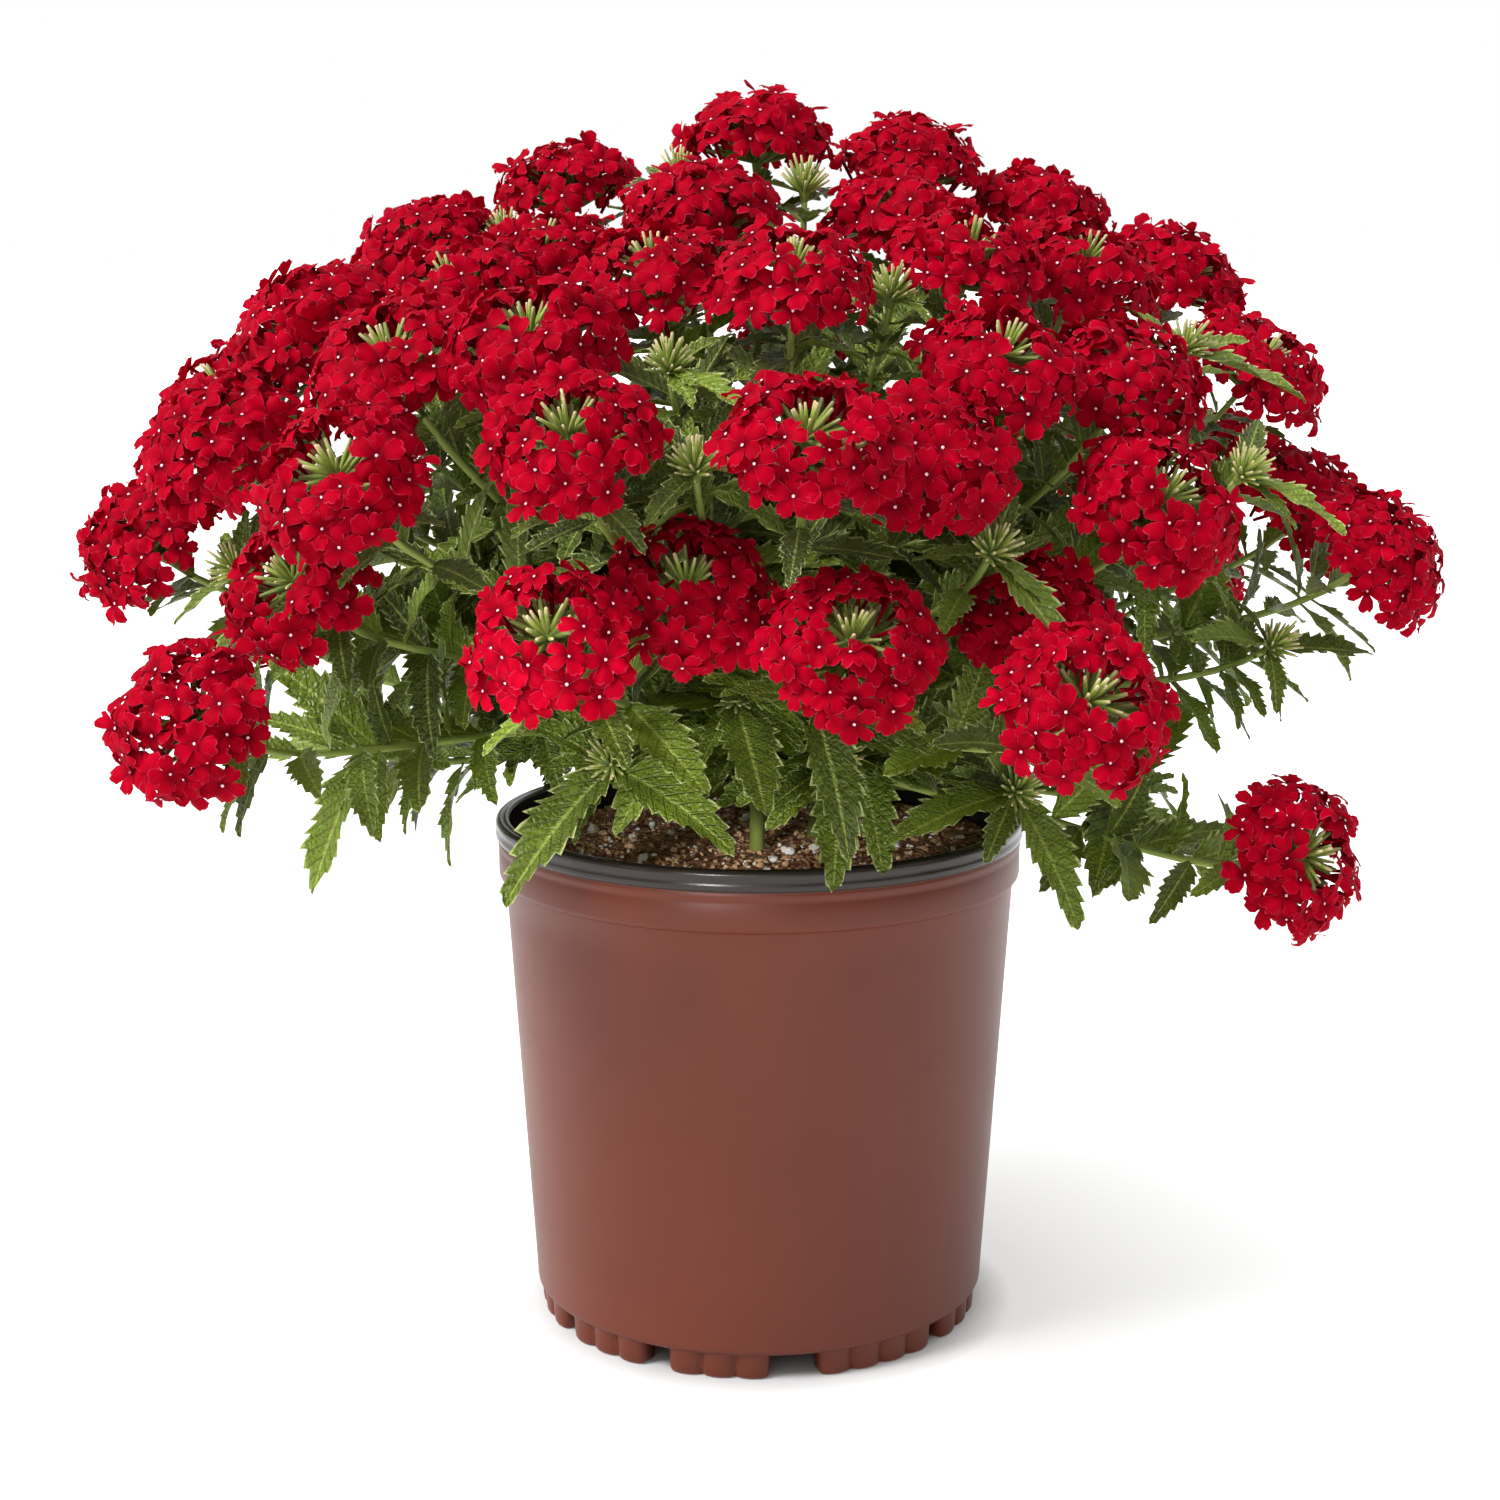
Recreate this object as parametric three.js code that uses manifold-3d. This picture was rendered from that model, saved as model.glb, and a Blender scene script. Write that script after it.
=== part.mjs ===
// A bedding verbena in full bloom in its nursery pot.
// Millimetres, +Z up. The pot stands on z = 0 with its axis on the Z axis, and -Y is the front.
import * as THREE from 'three';
import { mergeVertices } from 'three/addons/utils/BufferGeometryUtils.js';
import Module from 'manifold-3d';

const wasm = await Module();
wasm.setup();

const DEG = Math.PI / 180;
const GAP = 0.3; // clearance between pieces that touch

// ---- Driving dimensions ---------------------------------------------------------------------

// The pot: a tapered wall, a stepped band under the rim, a thick lip and fluted feet.
const POT_SIDES = 32;
const POT_HEIGHT = 159.5;
const RIM_RADIUS = 82.5;
const LIP_HEIGHT = 6.3;
const LIP_WIDTH = 4.4;
const BAND_RADIUS = 81.6;
const BAND_BOTTOM = 140.3;
const WALL_TOP_RADIUS = 79.6;
const WALL_FOOT_RADIUS = 71.35;
const WALL_FOOT = 10.9;
const WALL = 1.7;
const BASE_UNDERSIDE = 8;
const BASE_THICKNESS = 2.2;

// The feet stand in groups of lobes round the edge. The same five groups come twice.
const FOOT_GROUPS = [
  { start: 182, lobes: 3 },
  { start: 213, lobes: 3 },
  { start: 246.4, lobes: 3 },
  { start: 285.2, lobes: 4 },
  { start: 325, lobes: 3 },
];
const LOBE_ANGLE = 8.7;
const FOOT_RADIUS = 68;
const LOBE_SWELL = 1.6;
const FOOT_WIDTH = 6;
const DRAIN_HOLES = 4;
const DRAIN_RADIUS = 5;
const DRAIN_CIRCLE = 48;

// The soil: a plug that fills the pot to just under the lip, a little humped and uneven.
const SOIL_EDGE = 148.6;
const SOIL_HUMP = 2.4;
const SOIL_WAVE = 0.7;

// The plant: four shoots grow from one crown, each in its own quarter.
const CROWN = new THREE.Vector3(0, 0, 150);
const STEM_OFFSET = 17; // from the axis to the foot of each main stem
const STEM_SIDE = 4; // main stems are square
const STEM_DEPTH = 42; // buried length
const STEM_TOP = 66; // height of the top of a main stem above the crown
const TWIG_RADIUS = 1.35;
const BARE_STEPS = 2; // straight runs of a side stem without leaves
const LEAFY_STEPS = 3; // and of one with leaves
const JOINTS = [1 / 3, 2 / 3]; // where a leafy side stem bends and bears its pairs of leaves

// A flower head: a ball of large florets round a small core, on a flat seat.
const HEAD_RADIUS = 21;
const HEAD_SQUASH = 0.75;
const SEAT_DROP = 8.6;
const SEAT_RADIUS = 5;
const UPLIFT = 0.42; // how far a head turns up from the line of its stem
const SUNWARD = 0.7; // how far the heads at the two sides turn to the light in front

// Bud clusters.
const BUD_LENGTH = 11;
const BUD_RADIUS = 6.5;

// Leaves.
const LEAF_LENGTH = 46;
const LEAF_ASPECT = 0.38;
const LEAF_THICKNESS = 1.3;
const LEAF_SETBACK = 0.4; // from a stem's centre line to the foot of a leaf, well inside the stem
const HEAD_CLEARANCE = 24.5; // from a head's centre to any leaf
const RIM_CLEARANCE = 2;
const LOW_HEAD = 31; // heads below this elevation have leaves on their stems
const LOW_BUD = 140; // bud clusters nearer the crown than this stand in a whorl of large leaves

// Flower heads and bud clusters by shoot, each placed from the crown as
// [azimuth, elevation, distance]. The quarter of a shoot runs from its first azimuth to its second.
const SHOOTS = [
  {
    name: 'right', from: -49, to: 45,
    heads: [
      [32, 75, 215], [341, 77, 195], [317, 66, 195], [345, 61, 200], [25, 63, 215], [15, 52, 220],
      [1, 44, 210], [327, 50, 190], [317, 38, 185], [3, 31, 199], [347, 27, 208], [329, 5, 175],
      [39, 48, 205], [22, 33, 205], [36, 22, 200], [40, 10, 165],
    ],
    buds: [[319, 85, 205], [339, 50, 206], [327, 38, 203], [342, 24, 175], [20, 20, 120], [345, 12, 118]],
  },
  {
    name: 'back', from: 45, to: 135,
    heads: [
      [94, 87, 215], [60, 64, 210], [105, 63, 205], [84, 50, 200], [126, 48, 205],
      [110, 31, 190], [78, 32, 205], [52, 33, 200], [78, 12, 175],
    ],
    buds: [[95, 14, 128], [74, 26, 115]],
  },
  {
    name: 'left', from: 135, to: 225,
    heads: [
      [143, 69, 215], [185, 70, 190], [170, 60, 210], [208, 60, 195], [196, 50, 210], [221, 49, 200],
      [184, 41, 210], [203, 38, 210], [192, 28, 209], [219, 30, 185], [220, 17, 205], [152, 48, 205],
      [162, 34, 205], [142, 29, 195], [150, 16, 200],
    ],
    buds: [[198, 83, 208], [169, 67, 206], [206, 30, 192], [181, 14, 130]],
  },
  {
    name: 'front', from: 225, to: 311,
    heads: [
      [242, 79, 195], [248, 66, 190], [275, 60, 200], [241, 52, 200], [304, 53, 190], [253, 40, 210],
      [274, 40, 210], [289, 44, 185], [231, 36, 210], [252, 27, 190], [262, 35, 164], [278, 28, 180],
      [295, 21, 200], [305, 32, 155],
    ],
    buds: [
      [258, 53, 195], [263, 43, 192], [295, 37, 180], [297, 65, 192],
      [244, 24, 107], [266, 33, 119], [285, 27, 103], [305, 17, 131],
    ],
  },
];

// ---- Materials ------------------------------------------------------------------------------

const material = (color, roughness) => new THREE.MeshStandardMaterial({ color, roughness, metalness: 0 });
const potPlastic = material('#7d4a3b', 0.5);
const pottingSoil = material('#3b2a1f', 0.95);
const stemGreen = material('#4f7327', 0.65);
const petalRed = material('#c4001f', 0.6);

// ---- Small tools ----------------------------------------------------------------------------

// A seeded draw: each call gives the next number from 0 to 1.
function seeded(seed) {
  let state = seed;
  return () => {
    state = (state + 0x6d2b79f5) | 0;
    let mixed = Math.imul(state ^ (state >>> 15), 1 | state);
    mixed = (mixed + Math.imul(mixed ^ (mixed >>> 7), 61 | mixed)) ^ mixed;
    return ((mixed ^ (mixed >>> 14)) >>> 0) / 4294967296;
  };
}

// A unit vector from an azimuth round Z and an elevation above the XY plane, in degrees.
function heading(azimuth, elevation) {
  const flat = Math.cos(elevation * DEG);
  const x = flat * Math.cos(azimuth * DEG);
  const y = flat * Math.sin(azimuth * DEG);
  return new THREE.Vector3(x, y, Math.sin(elevation * DEG));
}

// A point of a circle round the origin, at an angle in degrees.
function onCircle(radius, angle) {
  return new THREE.Vector2(radius * Math.cos(angle * DEG), radius * Math.sin(angle * DEG));
}

// The point base + a * u + b * v + c * w.
function offset(base, u, a, v, b, w, c) {
  return base.clone().addScaledVector(u, a).addScaledVector(v, b).addScaledVector(w, c);
}

// A closed geometry as a solid for joining and cutting.
function toSolid(geometry) {
  const bare = geometry.clone();
  bare.deleteAttribute('normal');
  bare.deleteAttribute('uv');
  const merged = mergeVertices(bare, 1e-4);
  const corners = merged.index.array;
  const triVerts = [];
  for (let i = 0; i < corners.length; i += 3) {
    const [a, b, c] = corners.slice(i, i + 3);
    if (a !== b && b !== c && c !== a) triVerts.push(a, b, c);
  }
  return new wasm.Manifold(new wasm.Mesh({
    numProp: 3,
    vertProperties: new Float32Array(merged.attributes.position.array),
    triVerts: new Uint32Array(triVerts),
  }));
}

// The outer skin of a joined solid, with any hollow that the joining sealed filled in.
function filled(solid) {
  return solid.decompose().reduce((largest, body) => (body.volume() > largest.volume() ? body : largest));
}

function toGeometry(solid) {
  const mesh = solid.getMesh();
  const geometry = new THREE.BufferGeometry();
  geometry.setAttribute('position', new THREE.BufferAttribute(new Float32Array(mesh.vertProperties), 3));
  geometry.setIndex(new THREE.BufferAttribute(new Uint32Array(mesh.triVerts), 1));
  geometry.computeVertexNormals();
  return geometry;
}

// A geometry from points and triangles.
function facets(points, triangles) {
  const geometry = new THREE.BufferGeometry().setFromPoints(points);
  geometry.setIndex(triangles.flat());
  return geometry;
}

// A profile of [radius, height] pairs turned round the Z axis.
function turned(profile, sides) {
  const points = profile.map(([radius, height]) => new THREE.Vector2(radius, height));
  return new THREE.LatheGeometry(points, sides).rotateX(Math.PI / 2);
}

// A prism of the given outline radius and number of sides, from one height to another.
function prism(x, y, radius, sides, bottom, top) {
  const height = top - bottom;
  return new THREE.CylinderGeometry(radius, radius, height, sides)
    .rotateX(Math.PI / 2)
    .translate(x, y, bottom + height / 2);
}

// ---- Pot ------------------------------------------------------------------------------------

// One group of feet: an arc whose outer side swells out in lobes, up into the pot's base.
function footGroup(start, lobes) {
  const outline = [];
  for (let i = 0; i <= 2 * lobes; i += 1) {
    const radius = FOOT_RADIUS + (i % 2 === 0 ? 0 : LOBE_SWELL);
    outline.push(onCircle(radius, start + (i * LOBE_ANGLE) / 2));
  }
  for (let i = 2; i >= 0; i -= 1) {
    outline.push(onCircle(FOOT_RADIUS - FOOT_WIDTH, start + (i * lobes * LOBE_ANGLE) / 2));
  }
  const depth = BASE_UNDERSIDE + BASE_THICKNESS / 2;
  return new THREE.ExtrudeGeometry(new THREE.Shape(outline), { depth, bevelEnabled: false });
}

// The pot's inner radius at a height.
function innerRadius(height) {
  const rise = (height - WALL_FOOT) / (BAND_BOTTOM - WALL_FOOT);
  return WALL_FOOT_RADIUS - WALL + Math.min(rise, 1) * (WALL_TOP_RADIUS - WALL_FOOT_RADIUS);
}

function pot() {
  const floor = BASE_UNDERSIDE + BASE_THICKNESS;
  const lipBottom = POT_HEIGHT - LIP_HEIGHT;
  let solid = toSolid(turned([
    [0, BASE_UNDERSIDE],
    [WALL_FOOT_RADIUS - 1.5, BASE_UNDERSIDE],
    [WALL_FOOT_RADIUS, WALL_FOOT],
    [WALL_TOP_RADIUS, BAND_BOTTOM],
    [BAND_RADIUS, BAND_BOTTOM + 1.2],
    [BAND_RADIUS, lipBottom],
    [RIM_RADIUS, lipBottom + 0.6],
    [RIM_RADIUS, POT_HEIGHT],
    [RIM_RADIUS - LIP_WIDTH, POT_HEIGHT],
    [innerRadius(BAND_BOTTOM), BAND_BOTTOM],
    [innerRadius(floor), floor],
    [0, floor],
  ], POT_SIDES));
  for (const half of [0, 180]) {
    for (const { start, lobes } of FOOT_GROUPS) {
      solid = solid.add(toSolid(footGroup(start + half, lobes)));
    }
  }
  for (let i = 0; i < DRAIN_HOLES; i += 1) {
    const { x, y } = onCircle(DRAIN_CIRCLE, ((i + 0.5) * 360) / DRAIN_HOLES);
    solid = solid.subtract(toSolid(prism(x, y, DRAIN_RADIUS, 6, BASE_UNDERSIDE - 2, floor + 2)));
  }
  return toGeometry(solid);
}

// ---- Soil -----------------------------------------------------------------------------------

// The top of the soil over a point of the pot.
function soilTop(x, y) {
  const far = Math.hypot(x, y) / innerRadius(SOIL_EDGE);
  const wave = Math.sin(x / 9 + 1) * Math.cos(y / 11) + Math.sin(y / 7 - x / 13);
  return SOIL_EDGE + SOIL_HUMP * (1 - far * far) + SOIL_WAVE * wave * (1 - far);
}

function soil() {
  const floor = BASE_UNDERSIDE + BASE_THICKNESS + GAP;
  const edge = innerRadius(SOIL_EDGE) - GAP;
  const geometry = turned([
    [0, floor],
    [innerRadius(floor) - GAP, floor],
    [edge, SOIL_EDGE],
    [edge * 0.65, SOIL_EDGE + 1],
    [edge * 0.3, SOIL_EDGE + 1],
    [0, SOIL_EDGE + 1],
  ], POT_SIDES);
  const position = geometry.attributes.position;
  for (let i = 0; i < position.count; i += 1) {
    if (position.getZ(i) > SOIL_EDGE + 0.5) position.setZ(i, soilTop(position.getX(i), position.getY(i)));
  }
  let solid = toSolid(geometry);
  for (const shoot of SHOOTS) {
    const foot = stemFoot(shoot);
    const bottom = foot.z - STEM_DEPTH - GAP;
    const radius = STEM_SIDE * Math.SQRT1_2 + GAP * 2;
    solid = solid.subtract(toSolid(prism(foot.x, foot.y, radius, 8, bottom, POT_HEIGHT)));
  }
  return toGeometry(solid);
}

// ---- Flower heads ---------------------------------------------------------------------------

// The middle of a head or bud cluster and the way it faces.
function placed([azimuth, elevation, distance]) {
  const out = heading(azimuth, elevation);
  const middle = CROWN.clone().addScaledVector(out, distance);
  const axis = out.clone().add(new THREE.Vector3(0, -SUNWARD * Math.abs(out.x), UPLIFT)).normalize();
  return { middle, axis, out };
}

const HEAD_MIDDLES = SHOOTS.flatMap((shoot) => shoot.heads.map((head) => placed(head).middle));

// Joins a star of florets' points to the corners of its cell with a band of triangles.
// Both loops are lists of { id, angle } that run anticlockwise seen from outside.
function band(star, cell) {
  const triangles = [];
  const byAngle = (a, b) => a.angle - b.angle;
  const inner = [...star].sort(byAngle);
  const outer = [...cell].sort(byAngle);
  const reach = (loop, step) => loop[step % loop.length].angle + 2 * Math.PI * Math.floor(step / loop.length);
  let i = 0;
  let j = 0;
  while (i < inner.length || j < outer.length) {
    const a = inner[i % inner.length].id;
    const b = outer[j % outer.length].id;
    const innerNext = reach(inner, i) + reach(inner, i + 1);
    const outerNext = reach(outer, j) + reach(outer, j + 1);
    const advanceOuter = j < outer.length && (i >= inner.length || outerNext <= innerNext);
    if (advanceOuter) {
      j += 1;
      triangles.push([b, outer[j % outer.length].id, a]);
    } else {
      i += 1;
      triangles.push([inner[i % inner.length].id, a, b]);
    }
  }
  return triangles;
}

// A head about its own middle, facing +Z: one floret on the crown of the head and six round it.
// Each floret is a star of five petals over its own cell of the core, whose corners lie deep.
function head(draw) {
  const points = [];
  const triangles = [];
  const addPoint = (x, y, z) => points.push(new THREE.Vector3(x, y, z)) - 1;
  const onCore = (polar, azimuth, depth) => {
    const out = heading(azimuth, 90 - polar).multiplyScalar(HEAD_RADIUS * depth);
    return addPoint(out.x, out.y, out.z);
  };
  const upper = [];
  const seat = [];
  for (let k = 0; k < 6; k += 1) {
    upper.push(onCore(40, k * 60, 0.7));
    const { x, y } = onCircle(SEAT_RADIUS, k * 60);
    seat.push(addPoint(x, y, -SEAT_DROP / HEAD_SQUASH));
  }
  const floret = (polar, azimuth, petal, corners) => {
    const out = heading(azimuth, 90 - polar);
    const side = heading(azimuth + 90, 0);
    const up = new THREE.Vector3().crossVectors(out, side);
    const centre = out.clone().multiplyScalar(HEAD_RADIUS + 1.2 * (draw() - 0.5));
    const spin = draw() * 72 * DEG;
    const ring = [];
    for (let k = 0; k < 10; k += 1) {
      const angle = spin + k * 36 * DEG;
      const tip = k % 2 === 0;
      const radius = petal * (tip ? 1 - 0.08 * draw() : 0.5);
      const point = offset(centre, side, radius * Math.cos(angle), up, radius * Math.sin(angle), out, tip ? -0.7 : 0);
      ring.push(addPoint(point.x, point.y, point.z));
    }
    for (let k = 0; k < 10; k += 2) triangles.push([ring[(k + 9) % 10], ring[k], ring[k + 1]]);
    triangles.push([ring[1], ring[3], ring[5]], [ring[1], ring[5], ring[7]], [ring[1], ring[7], ring[9]]);
    const around = (id) => {
      const angle = Math.atan2(points[id].dot(up), points[id].dot(side));
      return { id, angle };
    };
    triangles.push(...band(ring.map(around), corners.map(around)));
  };
  floret(0, 0, HEAD_RADIUS * 0.58, upper);
  for (let k = 0; k < 6; k += 1) {
    const next = (k + 1) % 6;
    floret(65, k * 60 + 30, HEAD_RADIUS * 0.5, [upper[k], upper[next], seat[next], seat[k]]);
  }
  for (let k = 1; k < 5; k += 1) triangles.push([seat[0], seat[k + 1], seat[k]]);
  points.forEach((point) => point.setZ(point.z * HEAD_SQUASH));
  return facets(points, triangles);
}

// ---- Stems ----------------------------------------------------------------------------------

function stemFoot(shoot) {
  const foot = heading((shoot.from + shoot.to) / 2, 0).multiplyScalar(STEM_OFFSET);
  return foot.setZ(SOIL_EDGE + 1);
}

// The centre line of a shoot's main stem, from its buried end upwards and slightly outwards.
function mainLine(shoot) {
  const foot = stemFoot(shoot);
  const out = heading((shoot.from + shoot.to) / 2, 0);
  const up = new THREE.Vector3(0, 0, 1);
  return new THREE.CatmullRomCurve3([
    offset(foot, out, 0, up, -STEM_DEPTH, up, 0),
    offset(foot, out, 0, up, -STEM_DEPTH / 2, up, 0),
    foot,
    offset(foot, out, 3, up, STEM_TOP * 0.35, up, 0),
    offset(foot, out, 9, up, STEM_TOP * 0.7, up, 0),
    offset(foot, out, 14, up, STEM_TOP, up, 0),
  ]);
}

// The centre lines of a shoot's side stems, each from the main stem to the underside of its head
// or bud cluster. Those that reach higher leave the main stem higher up.
function twigLines(shoot, main) {
  return [...shoot.heads, ...shoot.buds].map((place, k) => {
    const { middle, axis, out } = placed(place);
    const drop = k < shoot.heads.length ? SEAT_DROP + GAP : BUD_LENGTH / 2;
    const start = main.getPoint(0.5 + 0.45 * out.z);
    const end = middle.clone().addScaledVector(axis, -drop);
    const span = end.distanceTo(start);
    const lean = end.clone().sub(start).normalize().add(new THREE.Vector3(0, 0, 0.4)).normalize();
    const first = start.clone().addScaledVector(lean, span * 0.35);
    const second = end.clone().addScaledVector(axis, -span * 0.3);
    return new THREE.CubicBezierCurve3(start, first, second, end);
  });
}

function rod(line, outline, steps) {
  const shape = new THREE.Shape(outline);
  return toSolid(new THREE.ExtrudeGeometry(shape, { extrudePath: line, steps, bevelEnabled: false }));
}

function corners(radius, count) {
  return Array.from({ length: count }, (_, k) => onCircle(radius, ((k + 0.5) * 360) / count));
}

// ---- Bud clusters ---------------------------------------------------------------------------

// A tuft of upright buds: a narrow foot, a crown of points with notches between, a longer middle.
function budCluster({ middle, axis }, draw) {
  const side = new THREE.Vector3(0, 1, 0).cross(axis).normalize();
  const other = new THREE.Vector3().crossVectors(axis, side);
  const count = 5;
  const foot = offset(middle, axis, -BUD_LENGTH / 2 - 1, side, 0, other, 0);
  const peak = offset(middle, axis, BUD_LENGTH * 0.55, side, 0, other, 0);
  const points = [foot, peak];
  for (let k = 0; k < 2 * count; k += 1) {
    const angle = (k * Math.PI) / count;
    const tip = k % 2 === 0;
    const radius = BUD_RADIUS * (tip ? 0.9 + 0.2 * draw() : 0.5);
    const height = BUD_LENGTH * (tip ? 0.4 : 0);
    points.push(offset(middle, axis, height, side, radius * Math.cos(angle), other, radius * Math.sin(angle)));
  }
  const triangles = [];
  for (let k = 0; k < 2 * count; k += 1) {
    const a = 2 + k;
    const b = 2 + ((k + 1) % (2 * count));
    triangles.push([0, b, a], [1, a, b]);
  }
  return toSolid(facets(points, triangles));
}

// ---- Leaves ---------------------------------------------------------------------------------

// Half the blade's outline from the foot to the tip, as [way along, half width]: three teeth.
const TEETH = [[0.24, 0.8], [0.36, 0.66], [0.52, 1], [0.64, 0.58], [0.8, 0.6]];
const MIDRIB = [0.32, 0.68];
const FOLD = 0.35; // rise of the blade's edges over its midrib, per unit of width

// A point of the blade. The blade bends away from its upper face towards its tip.
function bladePoint({ foot, along, face, length, width, bend }, way, across, lift) {
  const side = new THREE.Vector3().crossVectors(along, face);
  const half = (across * width) / 2;
  const rise = Math.abs(half) * FOLD - bend * length * way * way + lift;
  return offset(foot, along, length * way, side, half, face, rise);
}

function leaf(blade) {
  const points = [bladePoint(blade, 0, 0, 0), bladePoint(blade, 1, 0, 0)];
  for (const side of [1, -1]) {
    for (const [way, half] of TEETH) points.push(bladePoint(blade, way, side * half, 0));
  }
  for (const face of [1, -1]) {
    for (const way of MIDRIB) points.push(bladePoint(blade, way, 0, (face * LEAF_THICKNESS) / 2));
  }
  const edge = TEETH.length;
  const triangles = [];
  for (const face of [0, 1]) {
    const rib = [2 + 2 * edge + 2 * face, 3 + 2 * edge + 2 * face];
    for (const side of [0, 1]) {
      const margin = TEETH.map((_, k) => 2 + side * edge + k);
      const strip = [
        [0, margin[0], rib[0]], [margin[0], margin[1], rib[0]], [margin[1], margin[2], rib[0]],
        [margin[2], rib[1], rib[0]], [margin[2], margin[3], rib[1]], [margin[3], margin[4], rib[1]],
        [margin[4], 1, rib[1]],
      ];
      const flip = face !== side;
      for (const [a, b, c] of strip) triangles.push(flip ? [a, c, b] : [a, b, c]);
    }
  }
  return toSolid(facets(points, triangles));
}

// Whether a point keeps clear of the heads, the pot and soil, and the neighbouring quarters.
function isClear(point, shoot) {
  if (HEAD_MIDDLES.some((middle) => middle.distanceTo(point) < HEAD_CLEARANCE)) return false;
  const far = Math.hypot(point.x, point.y);
  const overPot = far < RIM_RADIUS + RIM_CLEARANCE;
  const inMouth = far < innerRadius(SOIL_EDGE) - 6;
  const floor = inMouth ? SOIL_EDGE + SOIL_HUMP + RIM_CLEARANCE : POT_HEIGHT + RIM_CLEARANCE;
  if (overPot && point.z < floor) return false;
  const middle = (shoot.from + shoot.to) / 2;
  const half = (shoot.to - shoot.from) / 2;
  const turn = Math.atan2(point.y, point.x) / DEG - middle;
  const aside = Math.abs(((turn + 540) % 360) - 180);
  return far * Math.sin(Math.min(half - aside, 90) * DEG) > 1.2;
}

function isLeafClear(blade, shoot) {
  for (let k = 3; k <= 12; k += 1) {
    const way = k / 12;
    const half = way < 1 ? 0.9 : 0;
    for (const across of [-half, 0, half]) {
      if (!isClear(bladePoint(blade, way, across, 0), shoot)) return false;
    }
  }
  return true;
}

// A leaf at a point of a stem, turned away from the stem's own direction by a spread. The longest
// of a few lengths that keeps clear is taken, or none.
function leafAt(foot, tangent, turn, spread, size, shoot, draw) {
  const flat = new THREE.Vector3(-tangent.y, tangent.x, 1e-6).normalize();
  const third = new THREE.Vector3().crossVectors(tangent, flat).normalize();
  const away = flat.multiplyScalar(Math.cos(turn * DEG)).addScaledVector(third, Math.sin(turn * DEG));
  const along = away.multiplyScalar(Math.sin(spread * DEG)).addScaledVector(tangent, Math.cos(spread * DEG));
  along.normalize();
  const up = tangent.clone().add(new THREE.Vector3(0, 0, 1.2));
  const face = up.addScaledVector(along, -up.dot(along)).normalize();
  const bend = 0.1 + 0.22 * draw();
  const aspect = LEAF_ASPECT * (0.9 + 0.2 * draw());
  const full = size * (0.88 + 0.24 * draw());
  const root = foot.clone().addScaledVector(along, LEAF_SETBACK);
  for (const part of [1, 0.84, 0.7]) {
    const length = full * part;
    const blade = { foot: root, along, face, length, width: length * aspect, bend };
    if (isLeafClear(blade, shoot)) return blade;
  }
  return null;
}

function tangentAt(line, way) {
  return line.getPointAt(way + 0.01).sub(line.getPointAt(way - 0.01)).normalize();
}

// Leaves in pairs along a side stem, each pair turned a quarter from the last.
function pairsAlong(line, size, shoot, draw) {
  const blades = [];
  const start = draw() * 90;
  JOINTS.forEach((way, k) => {
    for (const half of [0, 180]) {
      const turn = start + 90 * k + half;
      blades.push(leafAt(line.getPointAt(way), tangentAt(line, way), turn, 58, size, shoot, draw));
    }
  });
  return blades;
}

// A whorl of leaves under a bud cluster.
function whorl({ middle, axis }, count, size, shoot, draw) {
  const foot = middle.clone().addScaledVector(axis, -BUD_LENGTH / 2);
  const start = draw() * 360;
  const blades = [];
  for (let k = 0; k < count; k += 1) {
    blades.push(leafAt(foot, axis, start + (k * 360) / count, 66 + 14 * draw(), size, shoot, draw));
  }
  return blades;
}

// ---- A leafy shoot --------------------------------------------------------------------------

function leafyShoot(shoot, number) {
  const main = mainLine(shoot);
  const lines = twigLines(shoot, main);
  let solid = rod(main, corners(STEM_SIDE * Math.SQRT1_2, 4), 9);
  const isLeafy = (k) => k < shoot.heads.length && shoot.heads[k][1] < LOW_HEAD;
  lines.forEach((line, k) => {
    const steps = isLeafy(k) ? LEAFY_STEPS : BARE_STEPS;
    solid = solid.add(rod(line, corners(TWIG_RADIUS, 3), steps));
  });
  const blades = lines.flatMap((line, k) => {
    const draw = seeded(1000 + 100 * number + k);
    return isLeafy(k) ? pairsAlong(line, LEAF_LENGTH * 0.9, shoot, draw) : [];
  });
  shoot.buds.forEach((place, k) => {
    const draw = seeded(2000 + 100 * number + k);
    const spot = placed(place);
    solid = solid.add(budCluster(spot, draw));
    const low = place[2] < LOW_BUD;
    blades.push(...whorl(spot, low ? 4 : 2, LEAF_LENGTH * (low ? 1 : 0.75), shoot, draw));
  });
  for (const blade of blades) {
    if (blade) solid = solid.add(leaf(blade));
  }
  return toGeometry(filled(solid));
}

// ---- The whole plant ------------------------------------------------------------------------

const verbena = new THREE.Group();

function addPiece(name, geometry, finish) {
  const mesh = new THREE.Mesh(geometry, finish);
  mesh.name = name;
  verbena.add(mesh);
  return mesh;
}

addPiece('pot', pot(), potPlastic);
addPiece('soil', soil(), pottingSoil);
SHOOTS.forEach((shoot, number) => {
  addPiece(`shoot_${shoot.name}`, leafyShoot(shoot, number), stemGreen);
  shoot.heads.forEach((place, k) => {
    const draw = seeded(100 * number + k);
    const { middle, axis } = placed(place);
    const name = `head_${shoot.name}_${String(k + 1).padStart(2, '0')}`;
    const mesh = addPiece(name, head(draw), petalRed);
    mesh.position.copy(middle);
    mesh.quaternion.setFromUnitVectors(new THREE.Vector3(0, 0, 1), axis);
  });
});

export default verbena;
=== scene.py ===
"""A red bedding verbena in its nursery pot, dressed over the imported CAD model.

The plant is built in millimetres, in the frame of the CAD model, and each piece is turned into metres
when it becomes a Blender object. +Z is up and -Y is the front.
"""

import itertools
import math

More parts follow.
